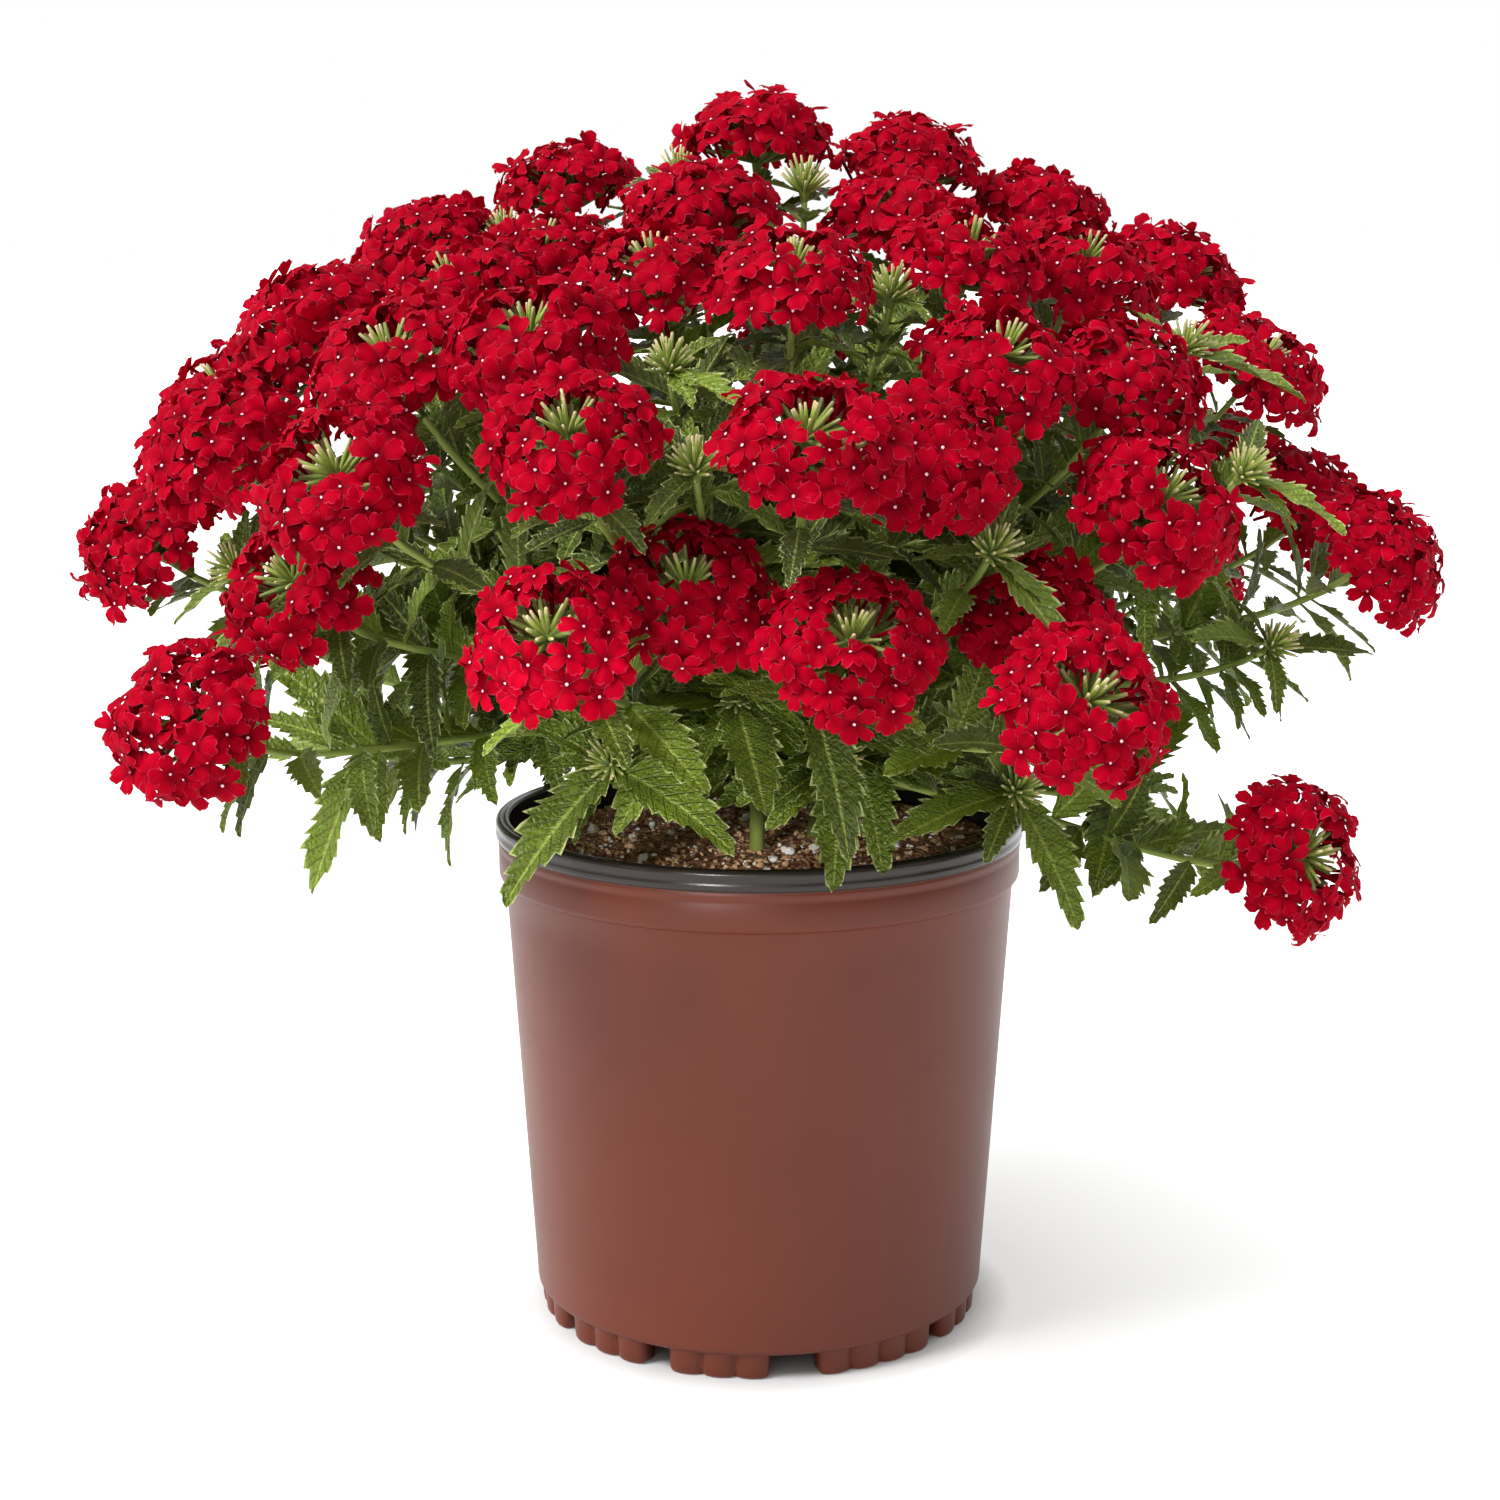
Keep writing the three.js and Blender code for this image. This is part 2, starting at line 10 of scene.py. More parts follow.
import bpy
import numpy as np
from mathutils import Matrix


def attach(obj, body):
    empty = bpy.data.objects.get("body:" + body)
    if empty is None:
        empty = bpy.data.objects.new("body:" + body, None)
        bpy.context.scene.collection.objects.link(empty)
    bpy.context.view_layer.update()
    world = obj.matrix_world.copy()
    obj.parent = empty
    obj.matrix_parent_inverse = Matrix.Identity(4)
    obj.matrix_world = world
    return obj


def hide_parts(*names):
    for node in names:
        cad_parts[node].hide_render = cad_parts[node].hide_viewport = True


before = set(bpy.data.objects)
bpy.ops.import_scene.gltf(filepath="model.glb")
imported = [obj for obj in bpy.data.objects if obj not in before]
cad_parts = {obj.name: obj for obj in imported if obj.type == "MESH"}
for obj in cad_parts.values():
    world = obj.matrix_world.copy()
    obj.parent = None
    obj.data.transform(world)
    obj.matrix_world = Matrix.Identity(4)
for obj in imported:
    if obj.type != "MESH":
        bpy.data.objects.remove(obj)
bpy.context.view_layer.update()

# ---- Camera -----------------------------------------------------------------------------------
# It stands 0.8 m in front of the pot, level with the flowers, and looks a little down.

camera = bpy.data.objects.new("camera", bpy.data.cameras.new("camera"))
camera.data.lens = 63.14
camera.data.sensor_width = 36
camera.data.clip_start = 0.01
camera.location = (-0.0029, -0.8083, 0.3328)
camera.rotation_euler = (math.radians(90 - 10.77), 0, 0)
bpy.context.scene.collection.objects.link(camera)
bpy.context.scene.camera = camera

# ---- Studio: white floor, white room, soft lights ---------------------------------------------
# A wide sheet of white card lies under the pot. The main light is a large soft one from the upper left,
# a weak one in front lifts the shadows, and a small lamp reaches the soil under the leaves.


def linear(colour):
    """A colour written #rrggbb in sRGB as the linear RGBA that shaders take."""
    levels = np.array([int(colour[i:i + 2], 16) for i in (1, 3, 5)]) / 255
    bright = ((levels + 0.055) / 1.055) ** 2.4
    return (*np.where(levels > 0.04045, bright, levels / 12.92).tolist(), 1.0)


def add_node(tree, kind, inputs=None, **settings):
    """A new node of a shader tree. Inputs are values or the sockets that feed them."""
    node = tree.nodes.new(kind)
    for name, value in settings.items():
        setattr(node, name, value)
    for name, value in (inputs or {}).items():
        if isinstance(value, bpy.types.NodeSocket):
            tree.links.new(value, node.inputs[name])
        else:
            node.inputs[name].default_value = value
    return node


def new_material(name, **surface):
    """A material with one Principled shader, the given values set on its own sockets."""
    material = bpy.data.materials.new(name)
    material.use_nodes = True
    shader = material.node_tree.nodes["Principled BSDF"]
    for socket, value in surface.items():
        shader.inputs[socket.replace("_", " ")].default_value = value
    return material, material.node_tree, shader


# Matt card that glows enough to stay white. The glow grows with the distance from the pot's middle, in
# metres, and so paints the pot's shadow on the card: at once outside the foot, a painted dark contact line,
# then slowly, a painted soft shadow.
card, card_tree, card_shader = new_material(
    "white_card", Base_Color=linear("#bcbcbc"), Roughness=0.9, Specular_IOR_Level=0.1,
    Emission_Color=linear("#ffffff"))
where = add_node(card_tree, "ShaderNodeTexCoord").outputs["Object"]
away = add_node(card_tree, "ShaderNodeVectorMath", {0: where}, operation="LENGTH").outputs["Value"]
close, wide = [
    add_node(card_tree, "ShaderNodeMapRange",
             {"Value": away, "From Min": start, "From Max": end, "To Max": most}).outputs["Result"]
    for start, end, most in ((0.064, 0.082, 0.48), (0.09, 0.26, 0.36))
]
card_glow = add_node(card_tree, "ShaderNodeMath", {0: close, 1: wide}, operation="ADD").outputs[0]
card_tree.links.new(card_glow, card_shader.inputs["Emission Strength"])
card_mesh = bpy.data.meshes.new("floor_card")
card_mesh.from_pydata([(-40, -40, 0), (40, -40, 0), (40, 60, 0), (-40, 60, 0)], [], [(0, 1, 2, 3)])
card_mesh.materials.append(card)
floor_card = bpy.data.objects.new("floor_card", card_mesh)
bpy.context.scene.collection.objects.link(floor_card)

# The room is white behind the plant and 0.38 as bright in front, which gives the pot its darker middle.
room = bpy.data.worlds.new("white_room")
room.use_nodes = True
direction = add_node(room.node_tree, "ShaderNodeTexCoord").outputs["Generated"]
depth = add_node(room.node_tree, "ShaderNodeSeparateXYZ", {"Vector": direction}).outputs["Y"]
room_glow = add_node(room.node_tree, "ShaderNodeMapRange",
                     {"Value": depth, "From Min": -0.5, "From Max": 0.4, "To Min": 0.38}).outputs["Result"]
backdrop = room.node_tree.nodes["Background"]
backdrop.inputs["Color"].default_value = linear("#ffffff")
room.node_tree.links.new(room_glow, backdrop.inputs["Strength"])
bpy.context.scene.world = room
bpy.context.scene.view_settings.view_transform = "Standard"


def new_light(name, kind, energy, turn, **settings):
    """A light in the scene, turned by degrees round X and Z."""
    light = bpy.data.objects.new(name, bpy.data.lights.new(name, kind))
    light.data.energy = energy
    for setting, value in settings.items():
        setattr(light.data, setting, value)
    light.rotation_euler = (math.radians(turn[0]), 0, math.radians(turn[1]))
    bpy.context.scene.collection.objects.link(light)
    return light


new_light("softbox", "SUN", 4.4, (44, -62), angle=math.radians(24))
new_light("fill_light", "SUN", 0.75, (60, -10), angle=math.radians(50))
soil_light = new_light("soil_light", "SPOT", 12, (77.2, -20.1), spot_size=math.radians(11),
                       spot_blend=1.0, shadow_soft_size=0.03)
soil_light.location = (-0.22, -0.62, 0.32)

# ---- Pot ------------------------------------------------------------------------------------------
# One moulded polypropylene pot, brown outside with a black lip and inside. The lip is rolled and
# grooved, a step runs under it, the base has four drain holes and stands on ten groups of fluted feet.


def joined(sheets):
    """Several sheets as one. A sheet is (points, triangles, marks, slots): the marks are three numbers
    at each point that the materials read, and the slots give the material of each triangle."""
    points, triangles, marks, slots = zip(*sheets)
    starts = np.cumsum([0] + [len(p) for p in points[:-1]])
    shifted = [t + start for t, start in zip(triangles, starts)]
    return np.concatenate(points), np.concatenate(shifted), np.concatenate(marks), np.concatenate(slots)


def new_piece(name, sheet, materials, record_slot, *nodes):
    """A smooth object made of a sheet in millimetres, which stands for the given CAD nodes."""
    points, triangles, marks, slots = sheet
    mesh = bpy.data.meshes.new(name)
    mesh.vertices.add(len(points))
    mesh.vertices.foreach_set("co", (points * 0.001).ravel())
    mesh.loops.add(triangles.size)
    mesh.loops.foreach_set("vertex_index", triangles.ravel())
    mesh.polygons.add(len(triangles))
    mesh.polygons.foreach_set("loop_start", np.arange(0, triangles.size, 3))
    mesh.polygons.foreach_set("material_index", slots)
    for material in materials:
        mesh.materials.append(material)
    mesh.update(calc_edges=True)
    mesh.attributes.new("marks", "FLOAT_VECTOR", "POINT").data.foreach_set("vector", marks.ravel())
    mesh.shade_smooth()
    piece = bpy.data.objects.new(name, mesh)
    bpy.context.scene.collection.objects.link(piece)
    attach(piece, "root")
    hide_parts(*nodes)


def grid_triangles(rows, columns, closed=False):
    """Triangles over a grid of points listed row by row. In a closed grid each row is a ring."""
    row = np.arange(rows - 1)[:, None] * columns
    column = np.arange(columns if closed else columns - 1)[None, :]
    a, b = row + column, row + (column + 1) % columns
    corners = [a, b, b + columns, a, b + columns, a + columns]
    return np.stack(corners, -1).reshape(-1, 3)


def unit(vector):
    """Vectors scaled to length 1."""
    return vector / np.linalg.norm(vector, axis=-1, keepdims=True)


POT_HEIGHT, RIM_RADIUS, LIP_WIDTH = 159.5, 82.5, 4.4
BAND_RADIUS, BAND_BOTTOM, LIP_BOTTOM = 81.6, 140.3, 153.2
WALL_TOP_RADIUS, WALL_FOOT_RADIUS, WALL_FOOT, WALL = 79.6, 71.35, 10.9, 1.7
UNDERSIDE, BASE, PLATE_RADIUS, INNER_CORNER = 8.0, 2.2, 62.0, 0.8
DRAIN_CIRCLE, DRAIN_RADIUS, DRAIN_EDGE = 48.0, 5.0, 0.3
POT_SIDES = 132
FOOT_GROUPS = [(182, 3), (213, 3), (246.4, 3), (285.2, 4), (325, 3)]  # start in degrees, lobes
LOBE_ANGLE, FOOT_RADIUS, LOBE_SWELL, FOOT_MIDDLE = 8.7, 67.9, 2.0, 65.5
BLACK, BROWN = 0, 1


def turned(profile, slots, sides):
    """A profile of (radius, height) turned round the Z axis to (r cos a, r sin a, h), with a material
    slot for each step of it."""
    radius, height = np.array(profile, float).T
    angle = np.arange(sides) * 2 * math.pi / sides
    ring = np.stack([np.cos(angle), np.sin(angle), 0 * angle], -1)
    points = (radius[:, None, None] * ring + height[:, None, None] * np.array([0, 0, 1])).reshape(-1, 3)
    # grid_triangles lists all triangles of one row pair together, two for each side
    return points, grid_triangles(len(profile), sides, closed=True), 0 * points, np.repeat(slots, 2 * sides)


def drained_quarter(turn):
    """A quarter of the pot's base with its drain hole, turned by an angle. Six rings run from the
    quarter's outline on the underside, through the hole, to the same outline on the inside, and each
    point of the hole lies on the line from its centre to a point of the outline."""
    half = math.pi / 4
    along = np.linspace(-half, half, POT_SIDES // 4 + 1)
    inward = np.linspace(1, 0, 9)[1:, None]
    corner = np.array([math.cos(half), math.sin(half)])
    rim = np.stack([np.cos(along), np.sin(along)], -1)
    outline = np.concatenate([rim, inward * corner, inward[-2::-1] * corner * [1, -1]]) * PLATE_RADIUS
    centre = np.array([DRAIN_CIRCLE, 0])
    way = unit(outline - centre)
    mouth, bore = way * (DRAIN_RADIUS + DRAIN_EDGE) + centre, way * DRAIN_RADIUS + centre
    levels = [(outline, 0), (mouth, 0), (bore, DRAIN_EDGE),
              (bore, BASE - DRAIN_EDGE), (mouth, BASE), (outline, BASE)]
    rings = [np.column_stack([ring, np.full(len(ring), UNDERSIDE + rise)]) for ring, rise in levels]
    cos, sin = math.cos(turn), math.sin(turn)
    points = np.concatenate(rings) @ np.array([[cos, sin, 0], [-sin, cos, 0], [0, 0, 1]])
    slots = np.repeat([BROWN, BROWN, BROWN, BROWN, BLACK], 2 * len(outline))
    return points, grid_triangles(len(levels), len(outline), closed=True)[:, ::-1], 0 * points, slots


def inner_radius(height):
    """The radius of the pot's inside at a height: a straight taper from the foot to the band."""
    rise = (height - WALL_FOOT) / (BAND_BOTTOM - WALL_FOOT)
    return WALL_FOOT_RADIUS - WALL + min(rise, 1) * (WALL_TOP_RADIUS - WALL_FOOT_RADIUS)


def arc(centre, radius, start, end, steps):
    """Points (radius, height) of an arc in the profile's plane, centre + radius (cos a, sin a), with
    its angles in degrees."""
    angles = np.radians(np.linspace(start, end, steps))
    return [(centre[0] + radius * math.cos(a), centre[1] + radius * math.sin(a)) for a in angles]


def near(radius, height, *offsets):
    """Points of the profile at offsets (outwards, up) from one of its corners."""
    return [(radius + out, height + up) for out, up in offsets]


pot_outside = [
    (PLATE_RADIUS, UNDERSIDE),
    *arc((WALL_FOOT_RADIUS - 2.0, UNDERSIDE + 2.0), 2.0, -80, -4, 6),
    *[(WALL_FOOT_RADIUS + t * (WALL_TOP_RADIUS - WALL_FOOT_RADIUS),
       WALL_FOOT + t * (BAND_BOTTOM - WALL_FOOT)) for t in np.linspace(0, 1, 14)],
    *near(WALL_TOP_RADIUS, BAND_BOTTOM, (0.35, 0.25), (1.3, 0.8)),
    *near(BAND_RADIUS, BAND_BOTTOM, (-0.2, 1.5), (0, 2.4)),
    *near(BAND_RADIUS, LIP_BOTTOM, (0, -3.6), (-0.35, -2.9), (0.15, -2.3), (0.25, -0.7), (-0.1, -0.2)),
]
pot_lip = [
    (BAND_RADIUS, LIP_BOTTOM),
    *near(RIM_RADIUS, LIP_BOTTOM, (-0.3, 0.3), (0, 1.0), (0, 2.2), (-0.45, 2.9), (-0.1, 3.5)),
    *arc((RIM_RADIUS - 1.5, POT_HEIGHT - 1.5), 1.5, 0, 90, 6),
    *near(RIM_RADIUS, POT_HEIGHT, (-2.3, -0.35), (-2.9, -0.05)),
    *arc((RIM_RADIUS - LIP_WIDTH + 0.8, POT_HEIGHT - 0.9), 0.8, 90, 180, 4),
    (inner_radius(BAND_BOTTOM) + 0.05, BAND_BOTTOM),
    *[(inner_radius(h), h) for h in np.linspace(BAND_BOTTOM - 1, UNDERSIDE + BASE + 1, 8)],
    (inner_radius(UNDERSIDE + BASE) - INNER_CORNER, UNDERSIDE + BASE), (PLATE_RADIUS, UNDERSIDE + BASE),
]
pot_slots = [BROWN] * (len(pot_outside) - 1) + [BLACK] * len(pot_lip)


def foot_group(start, lobes):
    """A group of fluted feet as one closed skin. Round the group the outer radius swells in lobes,
    R(a) = 67.9 + 2 sqrt|sin(pi a)| with a counted in lobes, and every edge at the floor is rounded off:
    levels are pairs of a height and how far the outline grows there."""
    around = np.linspace(0, lobes, lobes * 12 + 1)
    outer = FOOT_RADIUS + LOBE_SWELL * np.sqrt(np.abs(np.sin(around * math.pi)))
    angles = np.concatenate([start + around * LOBE_ANGLE, start + lobes * LOBE_ANGLE * np.linspace(1, 0, 9)])
    radii = np.concatenate([outer, np.full(9, PLATE_RADIUS)])
    turn = np.radians(angles)
    outline = np.stack([radii * np.cos(turn), radii * np.sin(turn)], -1)
    middle = math.radians(start + lobes * LOBE_ANGLE / 2)
    centre = FOOT_MIDDLE * np.array([math.cos(middle), math.sin(middle)])
    along = np.roll(outline, -1, 0) - np.roll(outline, 1, 0)
    outward = unit(np.stack([along[:, 1], -along[:, 0]], -1))
    levels = [(12.0, 1.2), (9.6, 0.7), (7.0, 0.15), (3.0, -0.1), (1.1, -0.35), (0.35, -0.8), (0.0, -1.6)]
    rings = [np.column_stack([outline + outward * grow, np.full(len(outline), z)]) for z, grow in levels]
    count = len(outline)
    points = np.concatenate([*rings, [[*centre, 0.0], [*centre, levels[0][0]]]])
    triangles = grid_triangles(len(levels), count, closed=True)[:, ::-1]
    k = np.arange(count)
    following, last = (k + 1) % count, (len(levels) - 1) * count
    floor = np.stack([k * 0 + len(points) - 2, following + last, k + last], -1)
    lid = np.stack([k * 0 + len(points) - 1, k, following], -1)
    triangles = np.concatenate([triangles, floor, lid])
    return points, triangles, np.zeros_like(points), np.full(len(triangles), BROWN)


def moulded_plastic(name, colour, shade, roughness):
    """Moulded polypropylene: an even colour and a soft, broad shine, a little uneven from the flow marks.

    The marks are 45 mm wide, 1000 / 22. The mould's own grain of about 0.1 mm is too fine to show, so it
    is drawn at 0.7 mm, 1000 / 1500.
    """
    material, tree, shader = new_material(name, Specular_IOR_Level=0.34)
    place = add_node(tree, "ShaderNodeTexCoord").outputs["Object"]
    flow = add_node(tree, "ShaderNodeTexNoise", {"Vector": place, "Scale": 22, "Detail": 4})
    tint = add_node(tree, "ShaderNodeMix",
                    {"Factor": flow.outputs["Fac"], "A": linear(colour), "B": linear(shade)},
                    data_type="RGBA")
    tree.links.new(tint.outputs["Result"], shader.inputs["Base Color"])
    wear = add_node(tree, "ShaderNodeMapRange",
                    {"Value": flow.outputs["Fac"], "To Min": roughness - 0.06, "To Max": roughness + 0.06})
    tree.links.new(wear.outputs["Result"], shader.inputs["Roughness"])
    grain = add_node(tree, "ShaderNodeTexNoise", {"Vector": place, "Scale": 1500, "Detail": 2})
    bump = add_node(tree, "ShaderNodeBump",
                    {"Height": grain.outputs["Fac"], "Strength": 0.12, "Distance": 0.0002})
    tree.links.new(bump.outputs["Normal"], shader.inputs["Normal"])
    return material


brown_plastic = moulded_plastic("brown_polypropylene", "#622711", "#57200d", 0.42)
black_plastic = moulded_plastic("black_polypropylene", "#2f2824", "#241f1b", 0.25)
pot_sheets = [turned(pot_outside + pot_lip, pot_slots, POT_SIDES)]
pot_sheets += [drained_quarter(math.radians(turn)) for turn in (45, 135, 225, 315)]
pot_sheets += [foot_group(start + half, lobes) for half in (0, 180) for start, lobes in FOOT_GROUPS]
new_piece("nursery_pot", joined(pot_sheets), [black_plastic, brown_plastic], "pot_plastic", "pot")

# ---- Potting soil -----------------------------------------------------------------------------------
# Peat and coir crumbs with white perlite, some bark and straw. The plug fills the pot to under its lip.

SOIL_EDGE, SOIL_HUMP, SOIL_WAVE, GAP = 148.6, 2.4, 0.7, 0.3
PEAT, PERLITE, BARK = 0, 1, 2


def noise_of(points, scale, seed):
    """Smooth noise in -1..1 at each point: the mean of six sine waves with seeded directions.

    n(p) = sum_i sin(d_i . p / scale + phase_i) / 6
    """
    draw = np.random.default_rng(seed)
    directions = draw.normal(size=(6, 3)) * 2
    phases = draw.uniform(0, 2 * math.pi, 6)
    return np.sin(points @ directions.T / scale + phases).mean(-1)


def soil_top(x, y):
    """The height of the soil: a low hump, 1 - r^2, with small waves that die out at the edge."""
    far = np.hypot(x, y) / inner_radius(SOIL_EDGE)
    wave = np.sin(x / 9 + 1) * np.cos(y / 11) + np.sin(y / 7 - x / 13)
    return SOIL_EDGE + SOIL_HUMP * (1 - far * far) + SOIL_WAVE * wave * (1 - far)


def soil_plug():
    """The plug of soil as a closed skin: a rough top, a side 0.3 mm from the pot, a flat bottom. The
    rings of the top lie at equal steps of r^2, and its lumps are 4 and 1.6 mm waves of noise."""
    edge = inner_radius(SOIL_EDGE) - GAP
    sides = 108
    reach = edge * np.sqrt(np.linspace(0, 1, 37)[1:])[::-1]
    angle = np.arange(sides) * 2 * math.pi / sides
    x, y = reach[:, None] * np.cos(angle), reach[:, None] * np.sin(angle)
    flat = np.stack([x, y, 0 * x], -1)
    lumps = noise_of(flat, 4.0, 5) * 0.9 + noise_of(flat, 1.6, 6) * 0.6
    z = soil_top(x, y) + lumps * np.minimum(1, (edge - reach[:, None]) / 6)
    top = np.stack([x, y, z], -1)
    bottom_height = UNDERSIDE + BASE + GAP
    ring = inner_radius(bottom_height) - INNER_CORNER
    bottom = np.stack([ring * np.cos(angle), ring * np.sin(angle), 0 * angle + bottom_height], -1)
    points = np.concatenate([bottom, top.reshape(-1, 3), [[0, 0, soil_top(0.0, 0.0)], [0, 0, bottom_height]]])
    rows = len(reach) + 1
    k = np.arange(sides)
    following = (k + 1) % sides
    triangles = np.concatenate([
        grid_triangles(rows, sides, closed=True),
        np.stack([k * 0 + rows * sides, k + (rows - 1) * sides, following + (rows - 1) * sides], -1),
        np.stack([k * 0 + rows * sides + 1, following, k], -1),
    ])
    return points, triangles, np.zeros_like(points), np.full(len(triangles), PEAT)


def crumbs(count, sizes, squash, slot, seed, rough=0.3):
    """Grains strewn over the soil: knobbly icosahedra of seeded size, shape, turn and place. The faces
    are the 20 triples of the 12 corners that lie next to each other, 1.05 apart on the unit sphere.
    The distance from the middle goes with the square root of a draw, which strews them evenly."""
    draw = np.random.default_rng(seed)
    golden = (1 + math.sqrt(5)) / 2
    corners = np.array([(0, s, t * golden) for s in (-1, 1) for t in (-1, 1)], float)
    corners = np.concatenate([np.roll(corners, k, 1) for k in range(3)]) / math.hypot(1, golden)
    faces = np.array(list(itertools.combinations(range(12), 3)))
    sides = np.linalg.norm(corners[faces] - corners[np.roll(faces, 1, 1)], axis=-1)
    faces = faces[(sides < 1.1).all(1)]
    inwards = np.linalg.det(corners[faces]) < 0
    faces[inwards] = faces[inwards][:, [0, 2, 1]]
    size = draw.uniform(*sizes, (count, 1, 1)) / 2 * draw.uniform(0.75, 1.25, (count, 1, 3))
    size[..., 2] *= squash
    shape = corners * size * draw.uniform(1 - rough, 1 + rough, (count, 12, 1))
    turn = draw.uniform(0, 2 * math.pi, count)
    cos, sin = np.cos(turn)[:, None], np.sin(turn)[:, None]
    x = shape[..., 0] * cos - shape[..., 1] * sin
    y = shape[..., 0] * sin + shape[..., 1] * cos
    reach = (inner_radius(SOIL_EDGE) - 2.5) * np.sqrt(draw.uniform(0, 1, count))
    where = draw.uniform(0, 2 * math.pi, count)
    px, py = reach * np.cos(where), reach * np.sin(where)
    z = shape[..., 2] + (soil_top(px, py) + size[:, 0, 2] * 0.3)[:, None]
    points = np.stack([x + px[:, None], y + py[:, None], z], -1).reshape(-1, 3)
    triangles = (faces + 12 * np.arange(count)[:, None, None]).reshape(-1, 3)
    marks = np.repeat(draw.uniform(0, 1, (count, 3)), 12, 0)
    return points, triangles, marks, np.full(len(triangles), slot)


def straws(count, seed):
    """Thin fibres that lie on the soil: rods of square section along a parabola, x(s) = s, y(s) = s^2 / 2
    of the length, with s from -0.5 to 0.5."""
    draw = np.random.default_rng(seed)
    sheets = []
    for _ in range(count):
        length, half = draw.uniform(7, 24), draw.uniform(0.25, 0.6)
        reach, where = 66 * math.sqrt(draw.uniform()), draw.uniform(0, 2 * math.pi)
        turn = draw.uniform(0, math.pi)
        s = np.linspace(-0.5, 0.5, 6)
        x = reach * math.cos(where) + s * length * math.cos(turn) - s * s * length * 0.5 * math.sin(turn)
        y = reach * math.sin(where) + s * length * math.sin(turn) + s * s * length * 0.5 * math.cos(turn)
        z = soil_top(x, y) + 0.9 + 0.5 * np.cos(s * math.pi)
        side = np.array([-math.sin(turn), math.cos(turn), 0]) * half
        up = np.array([0, 0, half])
        line = np.stack([x, y, z], -1)
        points = np.stack([line - side, line - up, line + side, line + up], 1).reshape(-1, 3)
        triangles = grid_triangles(len(s), 4, closed=True)
        marks = np.tile(draw.uniform(0, 1, 3), (len(points), 1))
        sheets.append((points, triangles, marks, np.full(len(triangles), BARK)))
    return joined(sheets)


def crumb_material(name, dark, light, scale, roughness):
    """Loose potting mix: each crumb has its own shade, and its pits break up the light, so that nothing
    shines. A pit is 1000 / scale mm wide: 1.25 in peat, 1.4 in perlite and 3.3 in bark. Real ones are
    finer, and these are as small as still show."""
    material, tree, shader = new_material(name, Roughness=roughness)
    place = add_node(tree, "ShaderNodeTexCoord").outputs["Object"]
    marks = add_node(tree, "ShaderNodeAttribute", attribute_name="marks").outputs["Vector"]
    luck = add_node(tree, "ShaderNodeSeparateXYZ", {"Vector": marks}).outputs["X"]
    cells = add_node(tree, "ShaderNodeTexVoronoi", {"Vector": place, "Scale": scale})
    speck = add_node(tree, "ShaderNodeSeparateColor", {"Color": cells.outputs["Color"]}).outputs["Red"]
    share = add_node(tree, "ShaderNodeMath", {0: luck, 1: speck}, operation="ADD").outputs[0]
    part = add_node(tree, "ShaderNodeMath", {0: share, 1: 2.0}, operation="MODULO").outputs[0]
    mixed = add_node(tree, "ShaderNodeMapRange", {"Value": part, "From Min": 0.3, "From Max": 1.7})
    tint = add_node(tree, "ShaderNodeMix",
                    {"Factor": mixed.outputs["Result"], "A": linear(dark), "B": linear(light)},
                    data_type="RGBA")
    tree.links.new(tint.outputs["Result"], shader.inputs["Base Color"])
    bump = add_node(tree, "ShaderNodeBump",
                    {"Height": cells.outputs["Distance"], "Strength": 0.9, "Distance": 0.0008})
    tree.links.new(bump.outputs["Normal"], shader.inputs["Normal"])
    return material


peat = crumb_material("peat_and_coir", "#804626", "#ffd4a4", 800, 0.95)
perlite = crumb_material("perlite", "#fff2dc", "#ffffff", 700, 0.9)
bark = crumb_material("bark_and_straw", "#4a2c1a", "#b8885c", 300, 0.85)
soil_sheets = [
    soil_plug(),
    crumbs(1500, (0.9, 2.2), 0.8, PEAT, 11),
    crumbs(150, (2.2, 3.6), 0.7, PEAT, 12),
    crumbs(340, (0.8, 2.0), 0.9, PERLITE, 13, 0.15),
    crumbs(46, (2.2, 4.2), 0.9, PERLITE, 14, 0.25),
    crumbs(40, (3.0, 8.0), 0.3, BARK, 15),
    straws(46, 16),
]
new_piece("potting_soil", joined(soil_sheets), [peat, perlite, bark], "potting_soil", "soil")

# ---- The plan of the plant --------------------------------------------------------------------------
# Four shoots grow from one crown. Heads and bud clusters are placed from it as (azimuth, elevation,
# distance), the same as in the CAD model, and "open" lists the heads whose middle is still in bud.

